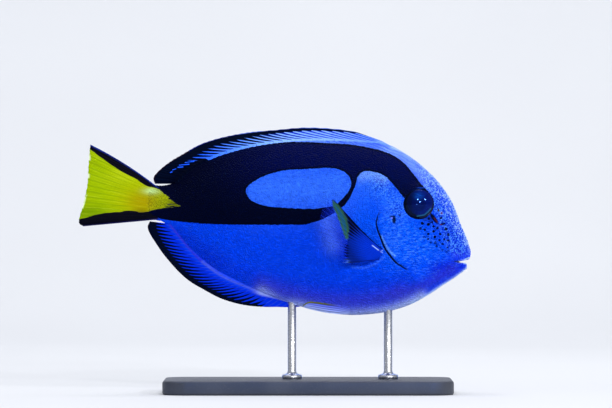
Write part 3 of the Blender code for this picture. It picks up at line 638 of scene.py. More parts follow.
def body_colour(n, vary=None, gap=0.0):
    """Colour shared by the skin and the scales: soft blues, dark bands, yellow wedge, freckles, and painted highlights
    and shade.
    """
    where = n.put("ShaderNodeSeparateXYZ", {0: n.coords()})
    across, up = where.outputs[0], where.outputs[2]
    amount, wave = n.attr("granules"), n.attr("ripple")
    mottle = n.noise(420, 3.0, 0.6)
    # light and dark waves: painted highlight and shade of low folds on the cheek, gill cover and lobe
    ripple = n.noise(1.0, 2.0, 0.55, vector=n.coords((620, 620, 2000), (0, math.radians(-8), 0)), warp=0.6)
    blue = n.mix(n.ramp(mottle, 0.3, 0.7, 0.0, 0.10), n.attr("tone", True), (0.0, 0.03, 0.62))
    blue = n.mix(n.math("MULTIPLY", n.ramp(ripple, 0.52, 0.62, 0.0, 0.62), wave), blue, (0.070, 0.25, 1.0))
    blue = n.mix(n.math("MULTIPLY", n.ramp(ripple, 0.48, 0.37, 0.0, 0.85), wave), blue, (0.0, 0.040, 0.66))
    # worm-like grain of the forehead, snout and lobe, lighter on its raised tops and darker in its hollows: painted
    # highlight and shade of the grain; it is paler along the upper outline, painted top light
    worm = n.noise(1.0, 1.0, 0.5, vector=n.coords((1750, 1750, 2300)), warp=0.9)
    pale = n.attr("pale")
    grit = worm if vary is None else n.math("ADD", n.math("MULTIPLY", worm, 0.72), n.math("MULTIPLY", vary, 0.28))
    grain_shade = n.math("MULTIPLY", n.ramp(grit, 0.475, 0.42), amount)
    grain_highlight = n.math("MULTIPLY", n.ramp(grit, 0.525, 0.58), amount)
    blue = n.mix(n.math("MULTIPLY", grain_shade, 0.80), blue, n.mix(pale, (0.0, 0.016, 0.50), (0.006, 0.075, 0.80)))
    blue = n.mix(n.math("MULTIPLY", grain_highlight, 0.90), blue, n.mix(pale, (0.095, 0.34, 1.0), (0.36, 0.58, 1.0)))
    # the skin between the granules is darkened: painted shade in the gaps
    if gap:
        blue = n.mix(n.math("MULTIPLY", amount, gap), blue, (0.004, 0.035, 0.45))
    # slanting fine lines along the foot of the dorsal fin
    run = n.math("ADD", n.math("MULTIPLY", up, 1 / 0.00119), n.math("MULTIPLY", across, 0.42 / 0.00119))
    run = n.math("FRACT", n.math("ADD", run, n.ramp(n.noise(160, 2.0), 0.3, 0.7, -0.6, 0.6, smooth=False)))
    line = n.ramp(n.math("ABSOLUTE", n.math("SUBTRACT", run, 0.5)), 0.24, 0.10)
    blue = n.mix(n.math("MULTIPLY", n.math("MULTIPLY", line, n.attr("striae")), 0.75), blue, (0.022, 0.085, 0.82))
    # bands
    edge = n.math("ADD", n.attr("sd_dark"), n.ramp(n.noise(900, 2.0), 0.3, 0.7, -0.10, 0.10, smooth=False))
    inner = n.math("MULTIPLY", n.ramp(edge, 0.15, 1.1), n.attr("navy"))
    colour = n.mix(n.ramp(edge, -0.12, 0.12), blue, n.mix(inner, BLACK, NAVY))
    # freckles
    dx = n.math("SUBTRACT", n.math("MULTIPLY", across, 1000.0), n.attr("spot_x"))
    dz = n.math("SUBTRACT", n.math("MULTIPLY", up, 1000.0), n.attr("spot_z"))
    far = n.math("SQRT", n.math("ADD", n.math("MULTIPLY", dx, dx), n.math("MULTIPLY", dz, dz)))
    far = n.math("ADD", far, n.ramp(n.noise(1900, 1.0), 0.3, 0.7, -0.12, 0.12, smooth=False))
    spot = n.math("MULTIPLY", n.ramp(n.math("SUBTRACT", n.attr("spot_r"), far), -0.13, 0.10), n.attr("spot_k"))
    colour = n.mix(spot, colour, (0.0004, 0.0008, 0.010))

    def mark(colour, px, py, rx, rz, tint, turn=0.0, strength=1.0, soft=0.35):
        x = n.math("SUBTRACT", across, gx(px) * MM)
        z = n.math("SUBTRACT", up, gz(py) * MM)
        c, s = math.cos(math.radians(turn)), math.sin(math.radians(turn))
        u = n.math("ADD", n.math("MULTIPLY", x, c / (rx * MM)), n.math("MULTIPLY", z, s / (rx * MM)))
        v = n.math("ADD", n.math("MULTIPLY", x, -s / (rz * MM)), n.math("MULTIPLY", z, c / (rz * MM)))
        r = n.math("SQRT", n.math("ADD", n.math("MULTIPLY", u, u), n.math("MULTIPLY", v, v)))
        return n.mix(n.math("MULTIPLY", n.ramp(r, 1 + soft, 1 - soft), strength), colour, tint)

    # nostrils: a paler patch round the rear one, and both pits painted dark as shade, the rear one reddish
    colour = mark(colour, 441.3, 213.1, 0.62, 0.58, (0.25, 0.30, 0.9), strength=0.6)
    colour = mark(colour, 438.2, 210.2, 0.34, 0.52, (0.030, 0.030, 0.016), strength=0.9)
    colour = mark(colour, 441.3, 213.1, 0.38, 0.34, (0.055, 0.010, 0.012), strength=0.9)
    # a small pit on the gill cover: its painted shadow, and a painted highlight on its edge
    colour = mark(colour, 393.7, 219.8, 0.66, 1.30, (0.0004, 0.004, 0.030), strength=0.97)
    colour = mark(colour, 392.2, 216.3, 0.95, 0.27, (0.0004, 0.004, 0.045), strength=0.90)
    colour = mark(colour, 391.3, 217.9, 0.34, 0.30, (0.20, 0.22, 1.0), strength=0.7)
    colour = mark(colour, 399.3, 214.9, 0.55, 0.26, (0.001, 0.010, 0.12), strength=0.8, turn=-15)
    # painted highlight along the upper rim of the eye socket
    colour = mark(colour, 420.5, 187.9, 1.5, 0.24, (0.002, 0.040, 0.42), strength=0.6)
    # creases under the eye: painted shade along them, with reddish strokes of the skin's own colour
    colour = mark(colour, 433.5, 218.3, 2.45, 0.70, (0.0008, 0.0008, 0.0040), turn=-53, strength=0.97)
    colour = mark(colour, 435.3, 219.9, 1.1, 0.26, (0.075, 0.010, 0.008), turn=-53, strength=0.8)
    colour = mark(colour, 442.4, 223.9, 1.05, 0.36, (0.001, 0.001, 0.004), turn=14, strength=0.95)
    colour = mark(colour, 440.4, 224.5, 0.36, 0.20, (0.14, 0.018, 0.008), turn=14, strength=0.6)
    # painted shade along the mouth line, painted highlights on the lit edges of the lips, and a small painted gleam
    # under the slit
    colour = mark(colour, 458.2, 261.2, 1.9, 0.24, (0.010, 0.013, 0.010), strength=0.85)
    colour = mark(colour, 467.2, 258.5, 1.45, 0.26, (0.34, 0.52, 0.74), turn=22, strength=0.95)
    colour = mark(colour, 464.6, 263.2, 1.15, 0.25, (0.34, 0.52, 0.74), turn=-26, strength=0.9)
    colour = mark(colour, 380.6, 251.3, 0.95, 0.15, (0.30, 0.46, 1.0), turn=-38, strength=0.8)
    colour = mark(colour, 381.6, 250.6, 0.75, 0.14, (0.30, 0.46, 1.0), turn=46, strength=0.6)
    # yellow wedge with a ragged, streaky front
    streak = n.noise(1.0, 2.0, 0.5, vector=n.coords((260, 260, 2100), (0, math.radians(6), 0)))
    ragged = n.ramp(streak, 0.25, 0.75, -0.42, 0.42, smooth=False)
    limit = n.math("ADD", n.attr("sd_yellow"), n.math("MULTIPLY", ragged, n.ramp(across, -0.046, -0.038)))
    yellow = n.mix(n.math("MULTIPLY", n.ramp(streak, 0.40, 0.72, 0.0, 0.45), n.ramp(across, -0.046, -0.040)), n.attr("tone_yellow", True), (0.17, 0.19, 0.001))
    colour = n.mix(n.ramp(limit, -0.10, 0.10), colour, yellow)
    # painted shade in the slit behind the gill cover
    return n.mix(n.ramp(n.attr("slit"), -0.09, 0.07), colour, (0.0002, 0.0010, 0.010)), worm, amount


def skin_material():
    n = Nodes("skin")
    colour, worm, amount = body_colour(n, gap=0.45)
    # painted shade in the slit of the gill and inside the mouth, where the skin folds under
    colour = n.mix(n.attr("crease"), colour, (0.0004, 0.0012, 0.014))
    # paler lip edges: painted highlight
    colour = n.mix(n.attr("lip"), colour, (0.16, 0.24, 0.62))
    normal = n.bump(n.math("MULTIPLY", worm, n.math("ADD", amount, 0.10)), 0.00020, 0.8)
    normal = n.bump(n.noise(3600, 2.0, 0.6), 0.00006, 0.5, normal)
    rough = n.ramp(n.noise(700, 2.0), 0.3, 0.7, 0.40, 0.52)
    return n.finish(colour, rough, normal)


def scale_material():
    n = Nodes("scales")
    vary = n.attr("vary")
    colour, worm, amount = body_colour(n, vary)
    shade = n.math("MULTIPLY", n.math("SUBTRACT", vary, 0.5), 0.24)
    colour = n.mix(n.math("MAXIMUM", shade, 0.0), colour, (0.18, 0.38, 1.0), "SOFT_LIGHT")
    colour = n.mix(n.math("MAXIMUM", n.math("MULTIPLY", shade, -1.0), 0.0), colour, (0.0, 0.0, 0.02))
    normal = n.bump(n.noise(5200, 1.0, 0.5), 0.00004, 0.5)
    rough = n.ramp(vary, 0.0, 1.0, 0.38, 0.52, smooth=False)
    return n.finish(colour, rough, normal)


def fin_dark_mask(n, soft=0.10):
    """Dark streaks between the rays: their width is given by the field dark."""
    saw = n.math("FRACT", n.attr("streak"))
    centre = n.math("ABSOLUTE", n.math("SUBTRACT", n.math("MULTIPLY", saw, 2.0), 1.0))
    wobble = n.ramp(n.noise(500, 2.0), 0.3, 0.7, -0.06, 0.06, smooth=False)
    return n.ramp(n.math("ADD", n.math("SUBTRACT", n.attr("dark"), centre), wobble), -soft, soft)


def fin_material(name, dark_tint=BLACK):
    n = Nodes(name)
    mask = fin_dark_mask(n)
    saw = n.math("FRACT", n.attr("ray"))
    centre = n.math("ABSOLUTE", n.math("SUBTRACT", n.math("MULTIPLY", saw, 2.0), 1.0))
    tone = n.attr("tone", True)
    tone = n.mix(n.ramp(centre, 0.75, 1.0, 0.0, 0.12), tone, (0.22, 0.40, 1.0))
    tone = n.mix(n.ramp(n.noise(900, 3.0, 0.6), 0.35, 0.7, 0.0, 0.16), tone, (0.0, 0.02, 0.50))
    deep = n.mix(n.ramp(centre, 0.8, 1.0, 0.0, 0.4), dark_tint, (0.0005, 0.002, 0.02))
    colour = n.mix(mask, tone, n.mix(n.attr("soft"), deep, (0.002, 0.022, 0.50)))
    colour = n.mix(n.attr("rim"), colour, n.attr("tone_rim", True))
    joints = n.math("FRACT", n.math("MULTIPLY", n.attr("reach"), 1.5))
    ribs = n.math("MULTIPLY", n.ramp(centre, 0.55, 1.0), n.ramp(joints, 0.0, 0.25, 0.4, 1.0))
    normal = n.bump(ribs, 0.00008, 0.6)
    normal = n.bump(n.noise(2600, 2.0, 0.6), 0.00004, 0.4, normal)
    return n.finish(colour, 0.45, normal)


# ------------------------------------------------------------------ skin
stations = stations_for(0.80, 0.29)
AROUND = 160
bare, perimeter = half_surface(stations, AROUND)
normals = grid_normals(bare)
shaped = relief(bare, normals)
shaped[:, 0, 1] = shaped[:, -1, 1] = 0.0
normals = grid_normals(shaped)
skin_half = shaped - COAT_DEPTH * normals
skin_half[:, 0, 1] = skin_half[:, -1, 1] = 0.0
S = len(stations)
ring = 2 * AROUND
whole = np.concatenate([skin_half, (skin_half * np.array([1, -1, 1]))[:, -2:0:-1]], axis=1)
verts = whole.reshape(-1, 3)
tail_point = skin_half[0].mean(0) * np.array([1, 0, 1]) + np.array([-0.15, 0, 0])
mouth_point = skin_half[-1].mean(0) * np.array([1, 0, 1]) + np.array([-0.4, 0, 0])
verts = np.vstack([verts, tail_point, mouth_point])
faces = [quads(S, ring, wrap=True), fan(np.arange(ring), S * ring, flip=True), fan((S - 1) * ring + np.arange(ring), S * ring + 1)]
skin = new_object("skin", verts, faces)
bm = bmesh.new()
bm.from_mesh(skin.data)
bmesh.ops.recalc_face_normals(bm, faces=bm.faces)
bm.to_mesh(skin.data)
bm.free()
skin_view = np.vstack([whole.reshape(-1, 3), tail_point, mouth_point])[:, [0, 2]]
add_fields(skin, skin_view)
# crease: painted shade along the gill slit and inside the mouth
dist, side, along = line_distance(GILL, skin_view)
slit = gauss(dist + 0.06 * side, 0.30) * smoothstep(0.0, 0.22, along) * (1 - smoothstep(0.80, 0.99, along))
slit *= (along > 0) & (along < 1)
crease_lip, _, lip_along = line_distance(LIP_CREASE, skin_view)
mouth_depth = np.concatenate([np.repeat(smoothstep(KNOTS[-3] + 0.1, KNOTS[-2], stations), ring), [0, 1]])
attribute(skin, "crease", np.clip(slit * 1.25, 0, 1) * 0.97 + 0.9 * mouth_depth * (1 - slit))
# lip: the edges of the lips made paler, painted highlight
lip_band = np.concatenate([np.repeat(gauss(stations - (KNOTS[-3] - 0.10), 0.26), ring), [0, 0]])
attribute(skin, "lip", np.clip(lip_band, 0, 1) * 0.6)
skin.data.materials.append(skin_material())

# ------------------------------------------------------------------ scales
eye_clear = EYE_RIM + 0.25


def surface_at(i, j):
    """Point and normal of the left half at fractional grid places."""
    i0, j0 = np.clip(i.astype(int), 0, S - 2), np.clip(j.astype(int), 0, AROUND - 1)
    a, b = (i - i0)[:, None], (j - j0)[:, None]

    def read(g):
        return (1 - a) * (1 - b) * g[i0, j0] + a * (1 - b) * g[i0 + 1, j0] + (1 - a) * b * g[i0, j0 + 1] + a * b * g[i0 + 1, j0 + 1]

    n = read(normals)
    t = -(shaped[i0 + 1, j0] - shaped[i0, j0])
    return read(skin_half), n / np.linalg.norm(n, axis=1, keepdims=True), t / np.maximum(np.linalg.norm(t, axis=1, keepdims=True), 1e-9)


def trunk_places():
    """Small scales scattered evenly from the tail to the gill slit, as places on the half grid."""
    cell_centre = (shaped[1:, 1:] + shaped[:-1, :-1]) / 2
    view = cell_centre.reshape(-1, 3)[:, [0, 2]]
    cells = (~ahead_of_slit(view) & (view[:, 0] > -45.6)).reshape(S - 1, AROUND)
    return scattered_places(cells, 0.54, 110000)


def scattered_places(cells, gap, tries):
    """Random places at least a gap apart, on the marked cells of the half grid."""
    a, b = shaped[1:, :-1] - shaped[:-1, :-1], shaped[:-1, 1:] - shaped[:-1, :-1]
    weight = (np.linalg.norm(np.cross(a, b), axis=2) * cells).ravel()
    pick = rng.choice(weight.size, tries, p=weight / weight.sum())
    i, j = pick // AROUND + rng.random(tries), pick % AROUND + rng.random(tries)
    points, _, _ = surface_at(i, j)
    boxes, kept = {}, []
    around = [(a, b, c) for a in (-1, 0, 1) for b in (-1, 0, 1) for c in (-1, 0, 1)]
    keys = np.floor(points / gap).astype(int)
    rows = [tuple(p) for p in points]
    for k, (p, key) in enumerate(zip(rows, map(tuple, keys))):
        for d in around:
            other = boxes.get((key[0] + d[0], key[1] + d[1], key[2] + d[2]), ())
            if any((p[0] - q[0]) ** 2 + (p[1] - q[1]) ** 2 + (p[2] - q[2]) ** 2 < gap * gap for q in other):
                break
        else:
            boxes.setdefault(key, []).append(p)
            kept.append(k)
    return i[kept], j[kept]


def oval(points, normal, tangent, length, width, tilt, dome):
    """Closed lens-shaped scales, each of 10 points and 16 triangles."""
    turn = np.arange(8) * math.pi / 4 + math.pi / 8
    a, b = 0.5 * np.cos(turn), 0.5 * np.sin(turn)
    a = np.where(a < 0, a * 0.9, a)
    e1 = tangent - (tangent * normal).sum(1, keepdims=True) * normal
    e1 /= np.maximum(np.linalg.norm(e1, axis=1, keepdims=True), 1e-9)
    e2 = np.cross(normal, e1)
    rim_a = a[None] * length[:, None]
    rim_b = b[None] * width[:, None]
    rim_h = 0.012 + tilt[:, None] * (rim_a / length[:, None] + 0.45)
    rim = points[:, None] + rim_a[..., None] * e1[:, None] + rim_b[..., None] * e2[:, None] + rim_h[..., None] * normal[:, None]
    mid = points + (tilt * 0.50 + 0.012)[:, None] * normal
    top = mid + dome[:, None] * normal
    low = mid - (0.02 + 0.5 * tilt)[:, None] * normal
    verts = np.concatenate([rim, top[:, None], low[:, None]], axis=1)
    k = np.arange(8)
    template = np.concatenate([np.stack([k, (k + 1) % 8, np.full(8, 8)], 1), np.stack([(k + 1) % 8, k, np.full(8, 9)], 1)])
    faces = (template[None] + (np.arange(len(points)) * 10)[:, None, None]).reshape(-1, 3)
    local = np.stack([np.concatenate([a, [0, 0]]), np.concatenate([b, [0, 0]])], axis=1)
    return verts.reshape(-1, 3), faces, np.tile(local, (len(points), 1))


def coat_piece(name, i, j, length, width, tilt, dome, mirror, material, chart, spin=0.12, calm=1.0):
    points, normal, tangent = surface_at(i, j)
    vary = 0.5 + (rng.random(len(i)) - 0.5) * calm
    spin = (rng.random(len(i)) - 0.5) * 2 * spin
    side_dir = np.cross(normal, tangent)
    tangent = tangent * np.cos(spin)[:, None] + side_dir * np.sin(spin)[:, None]
    if mirror:
        flip = np.array([1, -1, 1])
        points, normal, tangent = points * flip, normal * flip, tangent * flip
    verts, faces, local = oval(points, normal, tangent, length, width, tilt, dome)
    obj = new_object(name, verts, [faces], smooth=True)
    add_fields(obj, verts[:, [0, 2]])
    attribute(obj, "vary", np.repeat(vary, 10))
    u, v = chart
    centre = np.stack([np.repeat(u, 10), np.repeat(v, 10)], axis=1)
    uv_point = centre + local * 0.003
    layer = obj.data.uv_layers.new(name="OFBake")
    index = np.empty(len(obj.data.loops), np.int32)
    obj.data.loops.foreach_get("vertex_index", index)
    layer.data.foreach_set("uv", uv_point[index].astype(np.float32).ravel())
    obj.data.materials.append(material)
    return obj


# the head begins in front of this line: height against length
HEAD_LINE = ([24, 33, 38, 42.5, 46, 49.5, 53, 56, 60, 63.5, 66, 80, 96], [55.6, 54.5, 52.5, 49.0, 44.5, 41.0, 38.6, 37.2, 36.4, 37.0, 38.2, 40.2, 42.0])


def ahead_of_slit(view):
    return view[:, 0] > np.interp(view[:, 1], *HEAD_LINE)


def clear_of_openings(points, i):
    view = points[:, [0, 2]]
    slit_d, _, slit_along = line_distance(GILL, view)
    rho = np.hypot(view[:, 0] - EYE_AT[0], view[:, 1] - EYE_AT[2])
    clear = ~((slit_d < 0.38) & (slit_along > 0.12) & (slit_along < 0.93)) & ((rho > EYE_RIM + 0.45) | (points[:, 1] < 1.5))
    for spot in NOSTRILS:
        clear &= np.hypot(view[:, 0] - spot[0], view[:, 1] - spot[1]) > 0.50
    lips = np.interp(i, np.arange(S), stations) > KNOTS[-3] - 0.30
    lancet_d = np.hypot((view[:, 0] - SPINE_AT[0]) / 1.5, (view[:, 1] - SPINE_AT[1]) / 0.50)
    return clear & ~lips & (lancet_d > 1) & (points[:, 0] > -45.5)


coat = []
material = scale_material()
i, j = trunk_places()
at_point, _, _ = surface_at(i, j)
keep = ~ahead_of_slit(at_point[:, [0, 2]]) & clear_of_openings(at_point, i)
i, j, x = i[keep], j[keep], at_point[keep][:, 0]
small = 0.74 + 0.26 * smoothstep(-40, -26, x)
flat = 0.30 + 0.70 * smoothstep(-38, -32, x)
spread = 0.90 + 0.20 * rng.random(len(i))
cell_centre = (shaped[1:, 1:] + shaped[:-1, :-1]) / 2
cells = ahead_of_slit(cell_centre.reshape(-1, 3)[:, [0, 2]]).reshape(S - 1, AROUND)
hi, hj = scattered_places(cells, 0.52, 60000)
head_point, _, _ = surface_at(hi, hj)
keep = clear_of_openings(head_point, hi)
hi, hj, hx = hi[keep], hj[keep], head_point[keep][:, 0]
rough_skin = read_field("granules", head_point[keep][:, [0, 2]])
head_spread = 0.85 + 0.30 * rng.random(len(hi))
for mirror, word in ((True, "right"), (False, "left")):
    for part, pick in (("fore", x > 2), ("hind", x <= 2)):
        u = 0.02 + 0.96 * (x[pick] - x[pick].min()) / np.ptp(x[pick])
        v = 0.02 + 0.96 * j[pick] / AROUND
        coat.append(coat_piece(
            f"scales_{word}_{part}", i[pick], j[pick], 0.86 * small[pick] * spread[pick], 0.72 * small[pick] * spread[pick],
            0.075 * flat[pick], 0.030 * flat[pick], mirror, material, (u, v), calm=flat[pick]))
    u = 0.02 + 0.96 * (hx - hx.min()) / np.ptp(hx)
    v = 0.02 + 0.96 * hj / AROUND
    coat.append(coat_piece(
        f"granules_{word}", hi, hj, (0.76 - 0.06 * rough_skin) * head_spread, 0.52 * head_spread,
        np.full(len(hi), 0.02), 0.035 + 0.065 * rough_skin, mirror, material, (u, v), spin=0.55))

# ------------------------------------------------------------------ fins
def fin_table(rows, count):
    n = len(rows)
    return curve_through(np.arange(n), rows, np.linspace(0, n - 1, count))


def ray_fan(rows, stops, buried=None):
    """Grid of middle points along curved rays. Each row: base x, z, length, lean, bow."""
    lean = np.radians(rows[:, 3])
    base = rows[:, 0:2]
    tip = base + np.stack([-rows[:, 2] * np.cos(lean), rows[:, 2] * np.sin(lean)], axis=1)
    chord = tip - base
    across = np.stack([-chord[:, 1], chord[:, 0]], axis=1) / rows[:, 2:3]
    bow = rows[:, 4:5] if rows.shape[1] > 4 else np.zeros((len(rows), 1))
    grid = base[:, None] + chord[:, None] * stops[None, :, None] + (across * bow)[:, None] * (4 * np.clip(stops, 0, 1) * (1 - np.clip(stops, 0, 1)))[None, :, None]
    if buried is not None:
        back = stops < 0
        start = base[:, None] + np.asarray(buried)[None, None] * (-stops[back])[None, :, None]
        grid[:, back] = start
    return np.stack([grid[..., 0], np.zeros(grid.shape[:2]), grid[..., 1]], axis=-1)


def ridges(phase, power=3.0):
    """1 on a ray, 0 between rays, for a phase that counts rays."""
    return (0.5 + 0.5 * np.cos(2 * math.pi * phase)) ** power


SIDE = np.array([0.0, 1.0, 0.0])

DORSAL_RAYS = [
    (42.6, 88.5, 4.3, 29, 0.0), (40.6, 89.5, 7.4, 24, 0.1), (37.9, 90.2, 11.0, 22, 0.2), (30.7, 90.9, 12.3, 21, 0.3), (21.7, 91.4, 12.2, 20, 0.3),
    (10.9, 91.4, 11.3, 17, 0.3), (-1.0, 90.5, 11.0, 16, 0.3), (-13.2, 88.2, 12.3, 9, 0.2), (-24.0, 84.6, 10.2, 4.5, 0.2),
    (-30.5, 80.8, 8.8, 9, 0.1), (-34.1, 77.8, 8.4, 11, 0.1), (-35.5, 76.4, 8.2, 7, 0.0), (-36.2, 75.3, 6.9, 0.0, 0.0),
]
ANAL_RAYS = [
    (9.4, 31.2, 1.0, -12, 0.0), (7.0, 32.0, 2.3, -30, 0.1), (4.6, 33.3, 4.2, -34, 0.2), (2.6, 34.2, 6.0, -33, 0.3), (0.1, 35.2, 8.3, -29, 0.6), (-3.1, 36.2, 11.5, -20, 0.9),
    (-6.8, 37.4, 14.0, -12, 1.0), (-11.4, 39.1, 14.5, -7, 0.9), (-16.1, 41.0, 14.6, -3, 0.9), (-20.8, 43.5, 14.4, 3, 0.8),
    (-26.2, 47.5, 13.8, 9, 0.6), (-30.5, 52.0, 12.7, 10, 0.6), (-33.8, 55.8, 11.4, 9, 0.3), (-36.1, 58.7, 9.7, 7, 0.1),
    (-38.4, 61.0, 6.6, 7, 0.0),
]
CAUDAL_RAYS = [
    (-43.1, 74.9, 27.5, 32, -0.7), (-42.0, 72.0, 27.2, 23, 0.0), (-41.7, 69.1, 26.5, 13.5, 0.0), (-42.0, 66.0, 27.0, 5, 0.0),
    (-43.2, 63.2, 27.4, -3.0, 0.0), (-43.5, 62.3, 25.6, -5.2, 0.0),
]
DORSAL_DASHES = [
    [(163.5, 175.4), (168, 174.0)], [(167.6, 172.9), (172, 172)], [(171.5, 170.1), (176, 168.9)], [(178, 167.3), (183, 166.8)],
    [(179, 165.2), (189, 164.3)], [(185, 162.4), (194, 161.5)], [(188, 159.4), (200, 158.5)],
]


def base_run(rows):
    return np.concatenate([[0], np.cumsum(np.linalg.norm(np.diff(rows[:, :2], axis=0), axis=1))])


def strip_tone(px):
    """Light tone of the dorsal strip from tail (dark) to nape (pale)."""
    stops = np.array([150, 200, 240, 280, 330, 370, 400])
    tints = np.array([srgb(24, 80, 250), srgb(24, 92, 255), srgb(84, 138, 255), srgb(128, 172, 255), srgb(124, 164, 255), srgb(92, 134, 248), srgb(116, 154, 255)])
    return np.stack([np.interp(px, stops, tints[:, k]) for k in range(3)], axis=-1)


def dorsal_fin():
    rows = fin_table(DORSAL_RAYS, 420)
    stops = np.concatenate([[-1.0, -0.5], np.linspace(0, 1, 44) ** 0.95])
    grid = ray_fan(rows, stops, buried=(0.5, -2.1))
    run = base_run(rows)
    total = run[-1]
    # nine spines in front, then soft rays at a closer pitch
    spines, soft = 9, 22
    split = total * 0.46
    count = np.where(run < split, run / split * spines, spines + (run - split) / (total - split) * soft)
    v = np.clip(stops, 0, 1)[None]
    ph = count[:, None] * np.ones_like(v)
    flare = 0.95 * np.exp(-v / 0.12) + 0.18 * np.exp(-v / 0.5)
    thick = 0.22 + flare + 0.14 * ridges(ph, 4) * (1 - 0.6 * v)
    end = np.minimum(smoothstep(0, 2.2, run), smoothstep(0, 1.2, total - run))[:, None]
    thick *= (0.25 + 0.75 * end) * (1 - 0.80 * smoothstep(0.93, 1.0, v))
    grid = grid.copy()
    grid[:, :, 2] -= 0.10 * (1 - ridges(ph[:, -1:], 1)) * smoothstep(0.9, 1.0, v)
    px = grid[..., 0] / STEP + GRID_X
    foot = rows[:, 0:1] / STEP + GRID_X
    nape = smoothstep(268, 330, foot)
    # the dark margin begins at "full"; light tines taper towards it from the base
    full = np.interp(foot, [150, 165, 190, 208, 225, 238, 258, 272, 305, 335, 360, 380, 400, 425], [0.50, 0.52, 0.56, 0.58, 0.65, 0.68, 0.68, 0.72, 0.81, 0.82, 0.83, 0.86, 0.90, 0.95])
    k = np.clip(stops[None] / full, -1, 1)
    tines = np.interp(k, [0, 0.02, 0.08, 0.5, 0.82, 1.0], [0.0, 0.12, 0.50, 0.58, 0.78, 1.08])
    lines = np.interp(k, [0, 0.03, 0.14, 0.7, 0.93, 1.0], [0.0, 0.08, 0.46, 0.42, 0.52, 1.3])
    side_view = np.stack([grid[..., 0].ravel(), grid[..., 2].ravel()], axis=1)
    stroke = np.min([line_distance(grid_points(dash), side_view)[0] for dash in DORSAL_DASHES], axis=0).reshape(px.shape)
    dashes = 1.3 - 1.6 * (1 - smoothstep(0.05, 0.26, stroke))
    tail = 1 - smoothstep(196, 203, foot - 5 * (1 - k))
    dark = (tines * (1 - nape) + lines * nape) * (1 - tail) + dashes * tail
    dark = np.where(v >= full, 1.3, dark)
    dark = np.where(foot > 378, np.where(v > 0.93, 1.2, dark * (1 - smoothstep(378, 392, foot))), dark)
    tone = strip_tone(px) * (1.05 - 0.12 * v)[..., None]
    back = 1 - smoothstep(160, 205, px)
    bright = smoothstep(236, 243, px) * (1 - smoothstep(260, 266, px)) + smoothstep(296, 306, px) * (1 - smoothstep(398, 406, px))
    rim = smoothstep(0.945, 0.975, v) * np.maximum(0.70 - 0.25 * back, 0.85 * bright)
    tint = np.where(back[..., None] > 0.3, srgb(62, 42, 60), srgb(12, 32, 140)) * np.ones_like(px)[..., None]
    tint = tint * (1 - bright[..., None]) + srgb(66, 104, 220) * bright[..., None]
    pitch = np.interp(foot[:, 0], [150, 240, 280, 310, 360, 390, 430], [2.5, 2.7, 3.3, 3.9, 4.1, 3.6, 3.2])
    streak = np.concatenate([[0], np.cumsum(np.diff(run) * 2 / (pitch[1:] + pitch[:-1]))])[:, None] * np.ones_like(v)
    # the strokes lie flatter than the rays, most of all over the nape
    streak = streak - np.interp(foot, [150, 240, 290, 340, 400], [0.2, 0.4, 0.9, 1.6, 1.7]) * v
    soft_dark = nape * (1 - smoothstep(0.84, 0.98, k))
    fields = {"tone": tone, "ray": ph + 0.5, "streak": streak, "dark": dark, "rim": rim, "tone_rim": tint, "reach": v * rows[:, 2:3], "soft": soft_dark}
    return plate("dorsal_fin_membrane", grid, SIDE, thick, fields)


def anal_fin():
    rows = fin_table(ANAL_RAYS, 340)
    stops = np.concatenate([[-1.0, -0.5], np.linspace(0, 1, 48)])
    grid = ray_fan(rows, stops, buried=(1.2, 1.8))
    run = base_run(rows)
    total = run[-1]
    count = run / total * 33.0
    v = np.clip(stops, 0, 1)[None]
    ph = count[:, None] * np.ones_like(v)
    flare = 0.95 * np.exp(-v / 0.12) + 0.18 * np.exp(-v / 0.5)
    thick = 0.22 + flare + 0.13 * ridges(ph, 4) * (1 - 0.6 * v)
    end = np.minimum(smoothstep(0, 2.2, run), smoothstep(0, 1.2, total - run))[:, None]
    thick *= (0.25 + 0.75 * end) * (1 - 0.80 * smoothstep(0.94, 1.0, v))
    px = grid[..., 0] / STEP + GRID_X
    foot = rows[:, 0:1] / STEP + GRID_X
    full = np.interp(foot, [168, 185, 210, 240, 262, 285], [0.70, 0.79, 0.83, 0.83, 0.83, 0.88])
    k = np.clip(v / full, 0, 1)
    dark = np.interp(k, [0, 0.22, 0.42, 0.65, 0.88, 1.0], [0.0, 0.02, 0.30, 0.58, 0.82, 1.3])
    dark = np.where(v >= full, 1.3, dark) * (1 - smoothstep(254, 270, px))
    side_view = np.stack([grid[..., 0].ravel(), grid[..., 2].ravel()], axis=1)
    tone = read_field("tone", side_view).reshape(*grid.shape[:2], 3)
    deep = smoothstep(0.03, 0.22, v)[..., None]
    tone = tone * (1 - deep) + srgb(1, 38, 200) * deep
    rim = smoothstep(0.975, 0.998, v) * 0.5 * np.ones_like(px)
    tint = np.ones_like(px)[..., None] * srgb(72, 50, 82)
    fields = {"tone": tone, "ray": ph + 0.5, "streak": ph, "dark": dark, "rim": rim, "tone_rim": tint, "reach": v * rows[:, 2:3], "soft": 0 * ph}
    return plate("anal_fin_membrane", grid, SIDE, thick, fields)


